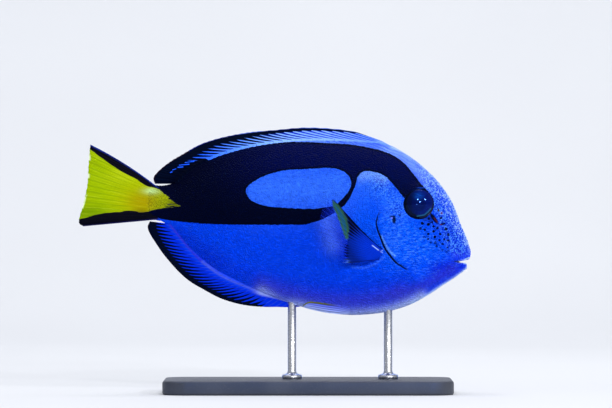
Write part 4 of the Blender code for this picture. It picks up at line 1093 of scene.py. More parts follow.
def caudal_material():
    n = Nodes("caudal_fin_skin")
    saw = n.math("FRACT", n.attr("ray"))
    centre = n.math("ABSOLUTE", n.math("SUBTRACT", n.math("MULTIPLY", saw, 2.0), 1.0))
    reach = n.attr("reach")
    fade = n.ramp(reach, 5.0, 16.0)
    yellow = n.attr("tone_yellow", True)
    fine = n.noise(1.0, 2.0, 0.55, vector=n.put("ShaderNodeCombineXYZ", {0: n.math("MULTIPLY", n.attr("ray"), 3.1), 1: n.math("MULTIPLY", reach, 0.10)}).outputs[0])
    near = n.ramp(reach, 1.0, 9.0)
    yellow = n.mix(n.math("MULTIPLY", n.ramp(centre, 0.45, 0.0), n.math("MULTIPLY", fade, 0.55)), yellow, (0.15, 0.24, 0.001))
    yellow = n.mix(n.math("MULTIPLY", n.ramp(fine, 0.50, 0.30, 0.0, 0.42), near), yellow, (0.19, 0.27, 0.001))
    yellow = n.mix(n.math("MULTIPLY", n.ramp(fine, 0.55, 0.72, 0.0, 0.34), near), yellow, (0.48, 0.58, 0.02))
    edge = n.math("ADD", n.attr("sd_yellow"), n.ramp(fine, 0.3, 0.7, -0.12, 0.12, smooth=False))
    dark = n.mix(n.ramp(n.math("ADD", n.attr("edge"), n.ramp(fine, 0.3, 0.7, -0.2, 0.2, smooth=False)), 0.62, 0.15), (0.0008, 0.001, 0.006), n.attr("tone_rim", True))
    colour = n.mix(n.ramp(edge, -0.10, 0.10), dark, yellow)
    # pale specks along the trailing edge: painted highlights on the ray tips
    colour = n.mix(n.math("MULTIPLY", n.attr("rim"), n.ramp(n.noise(300, 1.0), 0.56, 0.62)), colour, (0.60, 0.72, 0.35))
    joints = n.math("FRACT", n.math("MULTIPLY", reach, 1.4))
    ribs = n.math("MULTIPLY", n.ramp(centre, 0.5, 1.0), n.ramp(joints, 0.0, 0.25, 0.3, 1.0))
    normal = n.bump(ribs, 0.00008, 0.7)
    normal = n.bump(fine, 0.00010, 0.5, normal)
    return n.finish(colour, 0.46, normal, specular=0.03, tint=(1.0, 0.9, 0.5))


def caudal_fin():
    rows = fin_table(CAUDAL_RAYS, 300)
    stops = np.concatenate([[-0.12, -0.05], np.linspace(0, 1, 80)])
    grid = ray_fan(rows, stops)
    v = np.clip(stops, 0, 1)[None]
    u = np.linspace(0, 1, len(rows))[:, None]
    ph = u * 17.0 * np.ones_like(v)
    split = ridges(ph * 2, 2) * smoothstep(0.35, 0.8, v)
    thick = 0.20 + 0.62 * np.exp(-v / 0.16) + (0.15 * ridges(ph, 3) * (1 - smoothstep(0.3, 0.85, v)) + 0.09 * split) * smoothstep(0.0, 0.15, v)
    thick *= (1 - 0.75 * smoothstep(0.965, 1.0, v))
    thick *= 0.35 + 0.65 * np.minimum(smoothstep(0, 0.03, u), smoothstep(0, 0.03, 1 - u))
    grid = grid.copy()
    grid[:, :, 0] += (0.12 * (1 - ridges(ph[:, -1:], 1))) * smoothstep(0.93, 1.0, v)
    side_view = np.stack([grid[..., 0].ravel(), grid[..., 2].ravel()], axis=1)
    shape = grid.shape[:2]
    upper = np.array([grid[0, :, 0], grid[0, :, 2]]).T
    lower = np.array([grid[-1, :, 0], grid[-1, :, 2]]).T
    edge = np.minimum(line_distance(upper, side_view)[0], line_distance(lower, side_view)[0]).reshape(shape)
    tint = np.where((u < 0.5)[..., None], srgb(8, 34, 122), srgb(24, 24, 80)) * np.ones(shape)[..., None]
    fields = {
        "tone_yellow": paint_yellow(side_view).reshape(*shape, 3), "sd_yellow": area_distance(YELLOW_AREA, side_view).reshape(shape),
        "ray": ph + 0.5, "reach": v * rows[:, 2:3], "edge": edge, "tone_rim": tint, "rim": smoothstep(0.972, 0.99, v) * np.ones(shape),
    }
    obj = plate("caudal_fin_membrane", grid, SIDE, thick, fields)
    obj.data.materials.append(caudal_material())
    return obj


# ------------------------------------------------------------------ pectoral fins
PECTORAL_RAYS = [
    (39.5, 51.2, 26.3, 45.0, 12.0), (39.3, 50.6, 26.9, 33.5, 13.0), (39.0, 49.8, 23.8, 20.0, 12.0),
    (38.6, 48.9, 19.4, 9.0, 9.0), (38.2, 48.1, 13.1, -7.0, 5.5),
]
PECTORAL_DARK = catmull(grid_points([(392, 246), (380, 242), (362, 224), (346, 208), (334.5, 197.5), (335.5, 204), (340.5, 214), (345, 226), (347, 238), (346, 250), (347.5, 261), (356, 264), (370, 261), (390, 256)]), closed=True)
PECTORAL_GREEN = catmull(grid_points([(332.4, 199.5), (336.4, 202.3), (341.6, 208.6), (345.4, 215.5), (347.8, 223), (348.6, 231), (347.2, 238.5), (344.6, 239), (341.6, 231), (336.6, 217), (331.8, 205)]), closed=True)


def pectoral_grid(across, along):
    rows = fin_table(PECTORAL_RAYS, across)
    lead = 1 - np.linspace(0, 1, across)[:, None]
    v = np.linspace(0, 1, along)[None]
    lean = np.radians(rows[:, 3:4])
    tx = rows[:, 0:1] - rows[:, 2:3] * np.cos(lean)
    tz = rows[:, 1:2] + rows[:, 2:3] * np.sin(lean)
    sag = 1.3 * lead * 4 * v * (1 - v) ** 1.6
    root_y = PECTORAL_ROOT_Y
    y = root_y - 1.2 + (rows[:, 4:5] + 1.2) * (1 - (1 - v) ** 1.35)
    x = rows[:, 0:1] + (tx - rows[:, 0:1]) * v
    z = rows[:, 1:2] + (tz - rows[:, 1:2]) * v - sag
    return np.stack([x, y + 0 * x, z], axis=-1), rows


near = np.hypot(shaped[..., 0] - 39.0, shaped[..., 2] - 49.8)
PECTORAL_ROOT_Y = float(shaped.reshape(-1, 3)[near.argmin(), 1])


def pectoral_material():
    n = Nodes("pectoral_fin_skin")
    saw = n.math("FRACT", n.attr("ray"))
    centre = n.math("ABSOLUTE", n.math("SUBTRACT", n.math("MULTIPLY", saw, 2.0), 1.0))
    soft = n.ramp(n.noise(600, 2.0), 0.3, 0.7, -0.25, 0.25, smooth=False)
    in_dark = n.ramp(n.math("ADD", n.attr("sd_inner"), soft), -0.35, 0.35)
    in_green = n.ramp(n.math("ADD", n.attr("sd_green"), soft), -0.45, 0.60)
    mask = n.math("MULTIPLY", fin_dark_mask(n, 0.16), n.math("SUBTRACT", 1.0, n.math("MULTIPLY", in_green, 0.75)))
    lilac = n.mix(n.ramp(centre, 0.6, 1.0, 0.0, 0.3), (0.006, 0.035, 1.0), (0.02, 0.07, 1.0))
    inner = n.mix(n.ramp(centre, 0.5, 1.0, 0.0, 0.28), n.attr("tone", True), (0.002, 0.012, 0.18))
    teal = n.ramp(n.attr("sd_green"), 0.5, 1.3)
    green = n.mix(teal, (0.022, 0.090, 0.042), (0.008, 0.080, 0.175))
    green = n.mix(n.ramp(centre, 0.55, 1.0, 0.0, 0.22), green, (0.045, 0.110, 0.022))
    colour = n.mix(in_dark, lilac, inner)
    colour = n.mix(in_green, colour, green)
    colour = n.mix(mask, colour, (0.0006, 0.001, 0.008))
    colour = n.mix(n.attr("rim"), colour, n.attr("tone_rim", True))
    body = n.math("MAXIMUM", in_dark, in_green)
    veil = n.math("MULTIPLY", n.attr("veil"), n.ramp(centre, 0.4, 1.0, 0.85, 1.2))
    alpha = n.math("MAXIMUM", body, veil)
    alpha = n.math("MAXIMUM", alpha, n.math("MULTIPLY", mask, 0.9))
    normal = n.bump(n.ramp(centre, 0.45, 1.0), 0.00010, 0.7)
    return n.finish(colour, 0.42, normal, Alpha=alpha)


def pectoral_fin(side, word, material):
    grid, rows = pectoral_grid(240, 72)
    du, dv = np.gradient(grid, axis=0), np.gradient(grid, axis=1)
    normal = np.cross(du, dv)
    normal /= np.maximum(np.linalg.norm(normal, axis=2, keepdims=True), 1e-9)
    v = np.linspace(0, 1, 72)[None]
    u = np.linspace(0, 1, 240)[:, None]
    ph = u * 15.0 + 0 * v
    # the membrane is pleated between the rays
    grid = grid + normal * (0.10 * np.cos(2 * math.pi * ph) * smoothstep(0.1, 0.4, v) * (1 - 0.4 * v))[..., None]
    split = ridges(ph * 2, 2) * smoothstep(0.45, 0.85, v)
    thick = 0.10 + 0.42 * np.exp(-v / 0.10) + 0.11 * ridges(ph, 3) * (1 - smoothstep(0.4, 0.95, v)) + 0.05 * split
    thick *= 1 - 0.7 * smoothstep(0.96, 1.0, v)
    thick *= 1 + 0.8 * (1 - smoothstep(0.0, 0.04, u)) * (1 - v)
    shape = grid.shape[:2]
    side_view = np.stack([grid[..., 0].ravel(), grid[..., 2].ravel()], axis=1)
    inner = area_distance(PECTORAL_DARK, side_view).reshape(shape)
    green = area_distance(PECTORAL_GREEN, side_view).reshape(shape)
    base = srgb(2, 46, 190)
    deep = srgb(2, 24, 112)
    tone = base + (deep - base) * smoothstep(0.25, 0.65, v)[..., None] * np.ones(shape)[..., None]
    upper = 1 - smoothstep(0.16, 0.50, u)
    dark = upper * smoothstep(0.34, 0.60, v) * (0.72 + 0.25 * v) * (1 - smoothstep(0.93, 1.0, v))
    dark = np.maximum(dark, 1.2 * (u < 0.030))
    ticks = smoothstep(0.50, 0.58, u) * gauss(inner, 0.8) * 0.50
    dark = np.maximum(dark, ticks)
    dark = dark * smoothstep(-2.2, -0.2, inner)
    low = smoothstep(362, 350, grid[..., 0] / STEP + GRID_X)[..., None]
    tint = np.ones(shape)[..., None] * srgb(168, 200, 255) * (1 - low) + srgb(84, 140, 255) * low
    # pale spots and a pale stroke near the root and the lower tip: painted highlights
    pale = gauss(np.hypot((grid[..., 0] - gx(345.3)) / 1.5, grid[..., 2] - gz(261.4)), 0.7) * 0.60
    stroke, _, _ = line_distance(grid_points([(371.8, 245.2), (377.8, 249.8)]), side_view)
    pale = np.maximum(pale, 0.95 * gauss(stroke, 0.16).reshape(shape))
    pale = np.maximum(pale, 0.70 * gauss(np.hypot(grid[..., 0] - gx(380.6), grid[..., 2] - gz(251.2)), 0.30))
    over_band = gauss(line_distance(grid_points([(322, 208.5), (336, 206)]), side_view)[0], 7.5 * STEP).reshape(shape)
    veil = 0.03 + (0.10 + 0.17 * over_band) * (1 - smoothstep(0.72, 1.0, v)) * np.ones(shape)
    flip = np.array([1, side, 1])
    fields = {"tone": tone, "ray": ph + 0.5, "streak": ph, "dark": dark, "sd_inner": inner, "sd_green": green, "rim": pale, "tone_rim": tint, "reach": v * rows[:, 2:3], "veil": veil}
    obj = plate(f"pectoral_membrane_{word}", grid * flip, normal * flip, thick, fields)
    obj.data.materials.append(material)
    return obj


# ------------------------------------------------------------------ pelvic fins
def pelvic_material():
    n = Nodes("pelvic_fin_skin")
    saw = n.math("FRACT", n.attr("ray"))
    centre = n.math("ABSOLUTE", n.math("SUBTRACT", n.math("MULTIPLY", saw, 2.0), 1.0))
    colour = n.mix(n.ramp(centre, 0.5, 1.0, 0.0, 0.15), n.attr("tone", True), (0.05, 0.09, 0.55))
    colour = n.mix(n.attr("rim"), colour, n.attr("tone_rim", True))
    normal = n.bump(n.ramp(centre, 0.4, 1.0), 0.00010, 0.8)
    return n.finish(colour, 0.45, normal)


def pelvic_fin(side, word, material):
    na, nc = 90, 36
    p = np.linspace(0, 1, na)[:, None]
    q = np.linspace(0, 1, nc)[None]
    x = 27.3 + (10.1 - 27.3) * p
    top_line = catmull(grid_points([(350.5, 309.2), (338.5, 305.6), (325, 303.6), (312, 302.0), (306.5, 303.2), (303.2, 305.8)]))[::-1]
    top_z = np.interp(x[:, 0], top_line[:, 0], top_line[:, 1])
    keel_x, keel_z = shaped[:, -1, 0], shaped[:, -1, 2]
    order = np.argsort(keel_x[: S - 40])
    keel = np.interp(x[:, 0], keel_x[order], keel_z[order])
    low = keel + 0.18 + 0.5 * (1 - p[:, 0]) ** 3
    z = low[:, None] + (top_z - low)[:, None] * q
    flat = shaped[: S - 40].reshape(-1, 3)
    belly = flat[(flat[:, 2] < 40) & (flat[:, 0] > 5) & (flat[:, 0] < 32)]
    tree = kdtree.KDTree(len(belly))
    for k, b in enumerate(belly):
        tree.insert((b[0], b[2], 0), k)
    tree.balance()
    y = np.array([[belly[tree.find((x[a, 0], z[a, c], 0))[1], 1] for c in range(nc)] for a in range(na)])
    for _ in range(6):
        y[1:-1] = (y[:-2] + 2 * y[1:-1] + y[2:]) / 4
        y[:, 1:-1] = (y[:, :-2] + 2 * y[:, 1:-1] + y[:, 2:]) / 4
    ph = q * 4.0 + 0 * p
    stand_off = 0.42 * smoothstep(0.0, 0.30, p) - 0.10 + 0.10 * np.cos(2 * math.pi * ph) * smoothstep(0.1, 0.4, p)
    grid = np.stack([x + 0 * q, np.maximum(y + stand_off, 0.4), z], axis=-1)
    du, dv = np.gradient(grid, axis=0), np.gradient(grid, axis=1)
    normal = np.cross(du, dv)
    normal /= np.maximum(np.linalg.norm(normal, axis=2, keepdims=True), 1e-9)
    thick = 0.16 + 0.12 * ridges(ph, 2) + 0.12 * (1 - p)
    thick *= 1 - 0.6 * smoothstep(0.93, 1, p)
    shape = grid.shape[:2]
    side_view = np.stack([grid[..., 0].ravel(), grid[..., 2].ravel()], axis=1)
    # darker towards the front of the fin: painted shade
    tone = read_field("tone", side_view).reshape(*shape, 3) * (1 - 0.22 * (1 - smoothstep(0, 0.3, p)))[..., None]
    line = smoothstep(0.88, 0.96, q) * smoothstep(0.12, 0.55, p) * np.ones(shape)
    tint = (srgb(40, 46, 70) * (1 - p[..., None]) + srgb(104, 108, 34) * p[..., None]) * np.ones(shape)[..., None]
    flip = np.array([1, side, 1])
    fields = {"tone": tone, "ray": ph + 0.5, "rim": line, "tone_rim": tint}
    obj = plate(f"pelvic_membrane_{word}", grid * flip, normal * flip, thick, fields)
    obj.data.materials.append(material)
    return obj


dorsal, anal, caudal = dorsal_fin(), anal_fin(), caudal_fin()
median_look = fin_material("median_fin_skin")
dorsal.data.materials.append(median_look)
anal.data.materials.append(median_look)
pectoral_look, pelvic_look = pectoral_material(), pelvic_material()
paired = {}
for side, word in ((-1, "right"), (1, "left")):
    paired[f"pectoral_fin_{word}"] = pectoral_fin(side, word, pectoral_look)
    paired[f"pelvic_fin_{word}"] = pelvic_fin(side, word, pelvic_look)


# ------------------------------------------------------------------ eyes
def eye_material():
    n = Nodes("eye_glass")
    r, a = n.attr("radius"), n.attr("angle")
    iris = n.mix(n.attr("across"), (0.0001, 0.0005, 0.0200), (0.0002, 0.0020, 0.0720))
    fibres = n.noise(1.0, 2.0, 0.6, vector=n.put("ShaderNodeCombineXYZ", {0: n.math("MULTIPLY", a, 9.0), 1: n.math("MULTIPLY", r, 2.0)}).outputs[0])
    iris = n.mix(n.math("MULTIPLY", n.ramp(fibres, 0.4, 0.7, 0.0, 0.4), n.attr("across")), iris, (0.0004, 0.007, 0.140))
    colour = n.mix(n.ramp(r, 0.54, 0.42), iris, (0.0001, 0.0010, 0.046))
    broken = n.ramp(n.noise(1.0, 2.0, 0.6, vector=n.coords((700, 700, 2600))), 0.35, 0.65, 0.35, 1.0)
    # a soft pale patch at the top of the iris: painted reflection of light from above
    colour = n.mix(n.math("MULTIPLY", n.attr("glow"), broken), colour, (0.002, 0.062, 0.40))
    colour = n.mix(n.ramp(n.attr("glass"), 0.93, 1.00), colour, (0.0002, 0.0003, 0.0025))
    colour = n.mix(n.attr("stroke_teal"), colour, (0.010, 0.095, 0.210))
    colour = n.mix(n.attr("stroke_grey"), colour, (0.050, 0.065, 0.150))
    return n.finish(colour, 0.085, None, specular=0.42, tint=(0.085, 0.25, 1.0))


def eye(side, word, material):
    rings, spokes = 110, 160
    theta = np.linspace(0, math.pi, rings + 1)[1:-1]
    phi = np.linspace(0, 2 * math.pi, spokes, endpoint=False)
    x = EYE_RADII[0] * np.sin(theta)[:, None] * np.cos(phi)[None]
    z = EYE_RADII[2] * np.sin(theta)[:, None] * np.sin(phi)[None]
    y = EYE_RADII[1] * np.cos(theta)[:, None] + 0 * x
    local = np.stack([x, y, z], axis=-1).reshape(-1, 3)
    local = np.vstack([local, [0, EYE_RADII[1], 0], [0, -EYE_RADII[1], 0]])
    c, s = math.cos(-EYE_TURN), math.sin(-EYE_TURN)
    turned = np.stack([c * local[:, 0] - s * local[:, 1], s * local[:, 0] + c * local[:, 1], local[:, 2]], axis=1)
    world = (turned + EYE_AT) * np.array([1, side, 1])
    n = rings - 1
    faces = [quads(n, spokes, wrap=True), fan(np.arange(spokes), n * spokes, flip=True), fan((n - 1) * spokes + np.arange(spokes), n * spokes + 1)]
    obj = new_object(f"eyeball_{word}", world, faces)
    bm = bmesh.new()
    bm.from_mesh(obj.data)
    bmesh.ops.recalc_face_normals(bm, faces=bm.faces)
    bm.to_mesh(obj.data)
    bm.free()
    seen_x, seen_z = world[:, 0] - EYE_AT[0], world[:, 2] - EYE_AT[2]
    r = np.hypot(seen_x, seen_z) / EYE_RIM
    angle = np.arctan2(seen_z, seen_x)
    attribute(obj, "radius", np.where(world[:, 1] * side > EYE_AT[1] - 1.5, r, 1.5))
    attribute(obj, "angle", angle)
    view = world[:, [0, 2]]
    seen_px, seen_py = world[:, 0] / STEP + GRID_X, (GRID_Z - world[:, 2]) / STEP
    attribute(obj, "across", smoothstep(-9, 3, seen_px - 418))
    attribute(obj, "glass", np.where(world[:, 1] * side > EYE_AT[1] - 1.5, np.hypot(seen_px - 419.6, seen_py - 202.3) / 13.3, 1.5))
    # a soft pale patch at the top of the iris: painted reflection of light from above
    attribute(obj, "glow", 0.80 * gauss(np.hypot((seen_px - 418.2) / 1.25, seen_py - 195.8), 3.3))
    for key, line, weight in (("stroke_teal", [(416.8, 216.1), (424, 214.8), (427.6, 211.8), (430.3, 208.6)], 0.8), ("stroke_grey", [(428, 215), (431.8, 211.9)], 0.7)):
        attribute(obj, key, weight * gauss(line_distance(grid_points(line), view)[0], 0.22))
    obj.data.materials.append(material)
    return obj


def eye_ring(side, word, material):
    """Dark fold of skin between the socket and the eyeball."""
    around, tube = 160, 12
    phi = np.linspace(0, 2 * math.pi, around, endpoint=False)
    radius = EYE_RIM + 0.02
    dx, dz = radius * np.cos(phi), radius * np.sin(phi)
    cap = EYE_RADII[1] * np.sqrt(np.clip(1 - (dx / EYE_RADII[0]) ** 2 - (dz / EYE_RADII[2]) ** 2, 0, 1))
    centre = np.stack([EYE_AT[0] + dx, EYE_AT[1] - np.tan(EYE_TURN) * dx + cap + 0.02, EYE_AT[2] + dz], axis=1)
    outward = np.stack([np.cos(phi), np.zeros(around), np.sin(phi)], axis=1)
    grow = 0.22 + 0.06 * gauss(np.angle(np.exp(1j * (phi - 3.6))), 0.9)
    t = np.linspace(0, 2 * math.pi, tube, endpoint=False)
    ringed = centre[:, None] + (grow[:, None] * np.cos(t)[None])[..., None] * outward[:, None] + (0.8 * grow[:, None] * np.sin(t)[None])[..., None] * SIDE
    verts = ringed.reshape(-1, 3) * np.array([1, side, 1])
    i, j = np.meshgrid(np.arange(around), np.arange(tube), indexing="ij")
    ni, nj = (i + 1) % around, (j + 1) % tube
    faces = np.stack([i * tube + j, ni * tube + j, ni * tube + nj, i * tube + nj], axis=-1).reshape(-1, 4)
    obj = new_object(f"eye_fold_{word}", verts, [faces])
    bm = bmesh.new()
    bm.from_mesh(obj.data)
    bmesh.ops.recalc_face_normals(bm, faces=bm.faces)
    bm.to_mesh(obj.data)
    bm.free()
    obj.data.materials.append(material)
    return obj


def fold_material():
    n = Nodes("eye_fold_skin")
    colour = n.mix(n.ramp(n.noise(1500, 2.0), 0.4, 0.7), (0.0004, 0.0008, 0.005), (0.0008, 0.005, 0.05))
    return n.finish(colour, 0.4, n.bump(n.noise(2500), 0.00004, 0.5))


eye_look, fold_look = eye_material(), fold_material()
eyes = {word: (eye(side, word, eye_look), eye_ring(side, word, fold_look)) for side, word in ((-1, "right"), (1, "left"))}


# ------------------------------------------------------------------ lancets of the tail stalk
def lancet(side, word, material):
    n_long, n_round = 30, 20
    p = np.linspace(0, 1, n_long)
    x = -38.5 + 2.5 * p
    z = 67.80 + 0.15 * np.sin(math.pi * p)
    half = 0.20 * (1 - p**2.4) ** 0.8 + 0.02
    flat = shaped.reshape(-1, 3)
    y = np.array([flat[np.hypot(flat[:, 0] - a, flat[:, 2] - b).argmin(), 1] for a, b in zip(x, z)])
    y = np.convolve(np.pad(y, 3, "edge"), np.ones(7) / 7, "valid") + 0.10
    t = np.linspace(0, 2 * math.pi, n_round, endpoint=False)
    ringed = np.stack([
        np.repeat(x[:, None], n_round, 1), y[:, None] + (0.55 * half[:, None]) * np.cos(t)[None], z[:, None] + half[:, None] * np.sin(t)[None]], axis=-1)
    verts = np.vstack([ringed.reshape(-1, 3), [x[0] - 0.05, y[0], z[0]], [x[-1] + 0.12, y[-1], z[-1]]]) * np.array([1, side, 1])
    faces = [quads(n_long, n_round, wrap=True), fan(np.arange(n_round), n_long * n_round, flip=True), fan((n_long - 1) * n_round + np.arange(n_round), n_long * n_round + 1)]
    obj = new_object(f"lancet_{word}", verts, faces)
    bm = bmesh.new()
    bm.from_mesh(obj.data)
    bmesh.ops.recalc_face_normals(bm, faces=bm.faces)
    bm.to_mesh(obj.data)
    bm.free()
    obj.data.materials.append(material)
    return obj


def lancet_material():
    n = Nodes("lancet_bone")
    streak = n.noise(1.0, 2.0, 0.5, vector=n.coords((500, 500, 4000)))
    colour = n.mix(n.ramp(streak, 0.35, 0.7), (0.050, 0.060, 0.020), (0.075, 0.090, 0.040))
    return n.finish(colour, 0.40, n.bump(streak, 0.00004, 0.5), specular=0.15, tint=(0.8, 0.9, 1.0))


lancet_look = lancet_material()
lancets = {word: lancet(side, word, lancet_look) for side, word in ((-1, "right"), (1, "left"))}

# ------------------------------------------------------------------ stand
BASE_X, BASE_SIZE, BASE_CORNER = 12.0, (104.0, 56.0, 5.0), 9.0
RODS = {"stand_rod_rear": 6.2, "stand_rod_front": 40.8}


def stand_base():
    bm = bmesh.new()
    bmesh.ops.create_cube(bm, size=1.0)
    bmesh.ops.scale(bm, vec=Vector(BASE_SIZE) * MM, verts=bm.verts)
    bmesh.ops.translate(bm, vec=(BASE_X * MM, 0, BASE_SIZE[2] / 2 * MM), verts=bm.verts)
    upright = [e for e in bm.edges if abs(e.verts[0].co.z - e.verts[1].co.z) > 0.001]
    bmesh.ops.bevel(bm, geom=upright, offset=BASE_CORNER * MM, segments=24, profile=0.5, affect="EDGES")
    level = [e for e in bm.edges if abs(e.verts[0].co.z - e.verts[1].co.z) < 1e-6 and len(e.link_faces) == 2 and abs(e.link_faces[0].normal.z - e.link_faces[1].normal.z) > 0.5]
    bmesh.ops.bevel(bm, geom=level, offset=0.9 * MM, segments=5, profile=0.5, affect="EDGES")
    mesh = bpy.data.meshes.new("stand_plinth")
    bm.to_mesh(mesh)
    bm.free()
    mesh.shade_smooth()
    mesh.set_sharp_from_angle(angle=math.radians(35))
    obj = bpy.data.objects.new("stand_plinth", mesh)
    bpy.context.scene.collection.objects.link(obj)
    n = Nodes("stand_paint")
    grain = n.noise(2200, 3.0, 0.6)
    wide = n.noise(60, 2.0)
    colour = n.mix(n.ramp(wide, 0.3, 0.7), (0.040, 0.042, 0.047), (0.055, 0.057, 0.062))
    colour = n.mix(n.ramp(grain, 0.55, 0.8, 0.0, 0.4), colour, (0.11, 0.11, 0.12))
    obj.data.materials.append(n.finish(colour, n.ramp(grain, 0.3, 0.7, 0.42, 0.58), n.bump(grain, 0.00005, 0.5), specular=0.45))
    return obj


def rod(name, x, material):
    """Turned rod with a screwed collar, from the base up into the belly."""
    keel_x, keel_z = shaped[: S - 40, -1, 0], shaped[: S - 40, -1, 2]
    top = float(np.interp(x, keel_x, keel_z)) + 1.2
    foot = BASE_SIZE[2]
    profile = [(0.0, top), (1.35, top), (1.5, top - 0.15), (1.5, foot + 3.2), (1.62, foot + 2.5), (1.95, foot + 2.0), (2.6, foot + 1.75), (3.1, foot + 1.65),
               (3.35, foot + 1.55), (3.55, foot + 1.30), (3.60, foot + 1.0), (3.60, foot + 0.35), (3.45, foot + 0.20), (3.45, foot - 0.25), (0.0, foot - 0.25)]
    spokes = 64
    t = np.linspace(0, 2 * math.pi, spokes, endpoint=False)
    rows = [(r, h) for r, h in profile[1:-1]]
    verts = np.concatenate([np.stack([x + r * np.cos(t), r * np.sin(t), np.full(spokes, h)], axis=1) for r, h in rows])
    verts = np.vstack([verts, [x, 0, top], [x, 0, foot - 0.25]])
    n = len(rows)
    faces = [quads(n, spokes, wrap=True), fan(np.arange(spokes), n * spokes, flip=True), fan((n - 1) * spokes + np.arange(spokes), n * spokes + 1)]
    obj = new_object(name, verts, faces)
    bm = bmesh.new()
    bm.from_mesh(obj.data)
    bmesh.ops.recalc_face_normals(bm, faces=bm.faces)
    bm.to_mesh(obj.data)
    bm.free()
    obj.data.set_sharp_from_angle(angle=math.radians(45))
    obj.data.materials.append(material)
    return obj


def rod_material():
    n = Nodes("rod_steel")
    brushed = n.noise(1.0, 2.0, 0.6, vector=n.coords((900, 900, 9000)))
    colour = n.mix(n.ramp(brushed, 0.3, 0.7), (0.50, 0.51, 0.53), (0.66, 0.67, 0.69))
    mat = n.finish(colour, n.ramp(brushed, 0.3, 0.7, 0.22, 0.36), n.bump(brushed, 0.00002, 0.4), specular=0.5)
    n.shader.inputs["Metallic"].default_value = 1.0
    return mat


plinth = stand_base()
rod_look = rod_material()
rods = {name: rod(name.replace("stand_rod", "stand_post"), x, rod_look) for name, x in RODS.items()}

# ------------------------------------------------------------------ what rides on what
FLESH = ["head", "gill_cover_right", "gill_cover_left", "lower_jaw", "trunk", "tail_stalk"]
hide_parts(*FLESH)
for piece in [skin] + coat:
    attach(piece, "root")
for piece, node, slot in ((dorsal, "dorsal_fin", "fin_blue"), (anal, "anal_fin", "fin_blue"), (caudal, "caudal_fin", "fin_yellow")):
    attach(piece, "root")
    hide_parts(node)
for node, piece in paired.items():
    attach(piece, "root")
    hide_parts(node)
for word, (ball, fold) in eyes.items():
    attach(ball, "root")
    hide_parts(f"eye_{word}")
    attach(fold, "root")
for word, piece in lancets.items():
    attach(piece, "root")
    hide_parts(f"caudal_spine_{word}")
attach(plinth, "root")
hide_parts("stand_base")
for node, piece in rods.items():
    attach(piece, "root")
    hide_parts(node)


# ------------------------------------------------------------------ floor, light, camera
def cyclorama():
    """Pale sweep: flat floor that curves up into a wall behind the model."""
    profile = [(-3.0, 0.0), (0.7, 0.0)]
    radius, back = 0.6, 0.7
    for k in range(1, 13):
        a = k / 12 * math.pi / 2
        profile.append((back + radius * math.sin(a), radius * (1 - math.cos(a))))
    profile.append((back + radius, 3.0))
    verts, faces = [], []
    for x in (-4.0, 4.0):
        verts += [(x, y, z) for y, z in profile]
    m = len(profile)
    for k in range(m - 1):
        faces.append((k, m + k, m + k + 1, k + 1))
    mesh = bpy.data.meshes.new("floor_sweep")
    mesh.from_pydata(verts, [], faces)
    mesh.shade_smooth()
    obj = bpy.data.objects.new("floor_sweep", mesh)
    bpy.context.scene.collection.objects.link(obj)
    n = Nodes("floor_paper")
    colour = n.mix(n.ramp(n.noise(3.0, 2.0), 0.3, 0.7), (0.60, 0.61, 0.63), (0.62, 0.63, 0.65))
    obj.data.materials.append(n.finish(colour, 0.9, n.bump(n.noise(900, 2.0), 0.0001, 0.2), specular=0.1))
    # seen from behind, the sweep is clear, so that the model's far side can be looked at
    clear = n.put("ShaderNodeMixShader", {0: n.put("ShaderNodeNewGeometry").outputs["Backfacing"]})
    n.tree.links.new(n.shader.outputs["BSDF"], clear.inputs[1])
    n.tree.links.new(n.put("ShaderNodeBsdfTransparent").outputs[0], clear.inputs[2])
    n.tree.links.new(clear.outputs[0], n.out.inputs["Surface"])
    return obj


floor = cyclorama()


def area_light(name, place, target, size, power, colour=(1, 1, 1), size_y=None):
    data = bpy.data.lights.new(name, "AREA")
    data.energy = power
    data.color = colour
    data.shape = "RECTANGLE"
    data.size = size
    data.size_y = size_y or size
    lamp = bpy.data.objects.new(name, data)
    bpy.context.scene.collection.objects.link(lamp)
    lamp.location = place
    lamp.rotation_euler = (Vector(target) - Vector(place)).to_track_quat("-Z", "Y").to_euler()
    return lamp


FOCUS = (0.01, 0.0, 0.062)


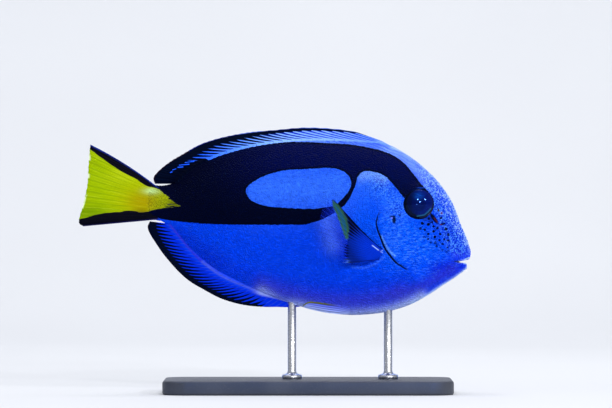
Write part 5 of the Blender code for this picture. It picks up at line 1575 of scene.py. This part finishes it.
def lamp_direction(px, py):
    """Where a lamp stands, seen from the right eye, for its reflection to fall on this place of the eye."""
    dx, dz = gx(px) - EYE_AT[0], gz(py) - EYE_AT[2]
    c, s = math.cos(-EYE_TURN), math.sin(-EYE_TURN)
    low, high = 0.0, 6.0
    for _ in range(60):
        dy = (low + high) / 2
        lx, ly = c * dx + s * dy, -s * dx + c * dy
        size = (lx / EYE_RADII[0]) ** 2 + (ly / EYE_RADII[1]) ** 2 + (dz / EYE_RADII[2]) ** 2
        low, high = (dy, high) if size < 1 else (low, dy)
    local = Vector((lx / EYE_RADII[0] ** 2, ly / EYE_RADII[1] ** 2, dz / EYE_RADII[2] ** 2))
    normal = Vector((c * local.x - s * local.y, s * local.x + c * local.y, local.z)).normalized()
    seen = Vector((0, 1, 0))
    out = 2 * normal.dot(seen) * normal - seen
    return Vector((out.x, -out.y, out.z))


EYE_PLACE = Vector((EYE_AT[0] * MM, -EYE_AT[1] * MM, EYE_AT[2] * MM))
area_light("top_soft", (0.0, 0.25, 1.4), FOCUS, 1.1, 16.0, size_y=0.8)
area_light("back_fill", (0.0, 0.9, 1.1), (0.0, 0.3, 0.1), 0.9, 3.0)
# small soft lamps that light the flank and leave catchlights in the eye
for k, (px, py, size, strength) in enumerate(((417.5, 199.5, 0.074, 400), (419.9, 201.6, 0.068, 465), (424.8, 199.6, 0.078, 420), (416.3, 204.4, 0.040, 180))):
    area_light(f"catch_{k}", EYE_PLACE + 1.6 * lamp_direction(px, py), EYE_PLACE, size, strength * math.pi * size * size)

world = bpy.data.worlds.new("studio")
world.use_nodes = True
world.node_tree.nodes["Background"].inputs["Color"].default_value = (0.86, 0.90, 1.0, 1)
world.node_tree.nodes["Background"].inputs["Strength"].default_value = 0.54
bpy.context.scene.world = world
bpy.context.scene.view_settings.view_transform = "Standard"
bpy.context.scene.view_settings.look = "None"

CAMERA_DISTANCE, VIEW_WIDTH = 2.0, 0.22032
camera = bpy.data.objects.new("camera", bpy.data.cameras.new("camera"))
bpy.context.scene.collection.objects.link(camera)
camera.location = (0.01125, -CAMERA_DISTANCE, 0.06803)
camera.rotation_euler = (math.pi / 2, 0, 0)
camera.data.sensor_width = 36.0
camera.data.lens = 36.0 * CAMERA_DISTANCE / VIEW_WIDTH
camera.data.clip_start, camera.data.clip_end = 0.01, 20.0
bpy.context.scene.camera = camera
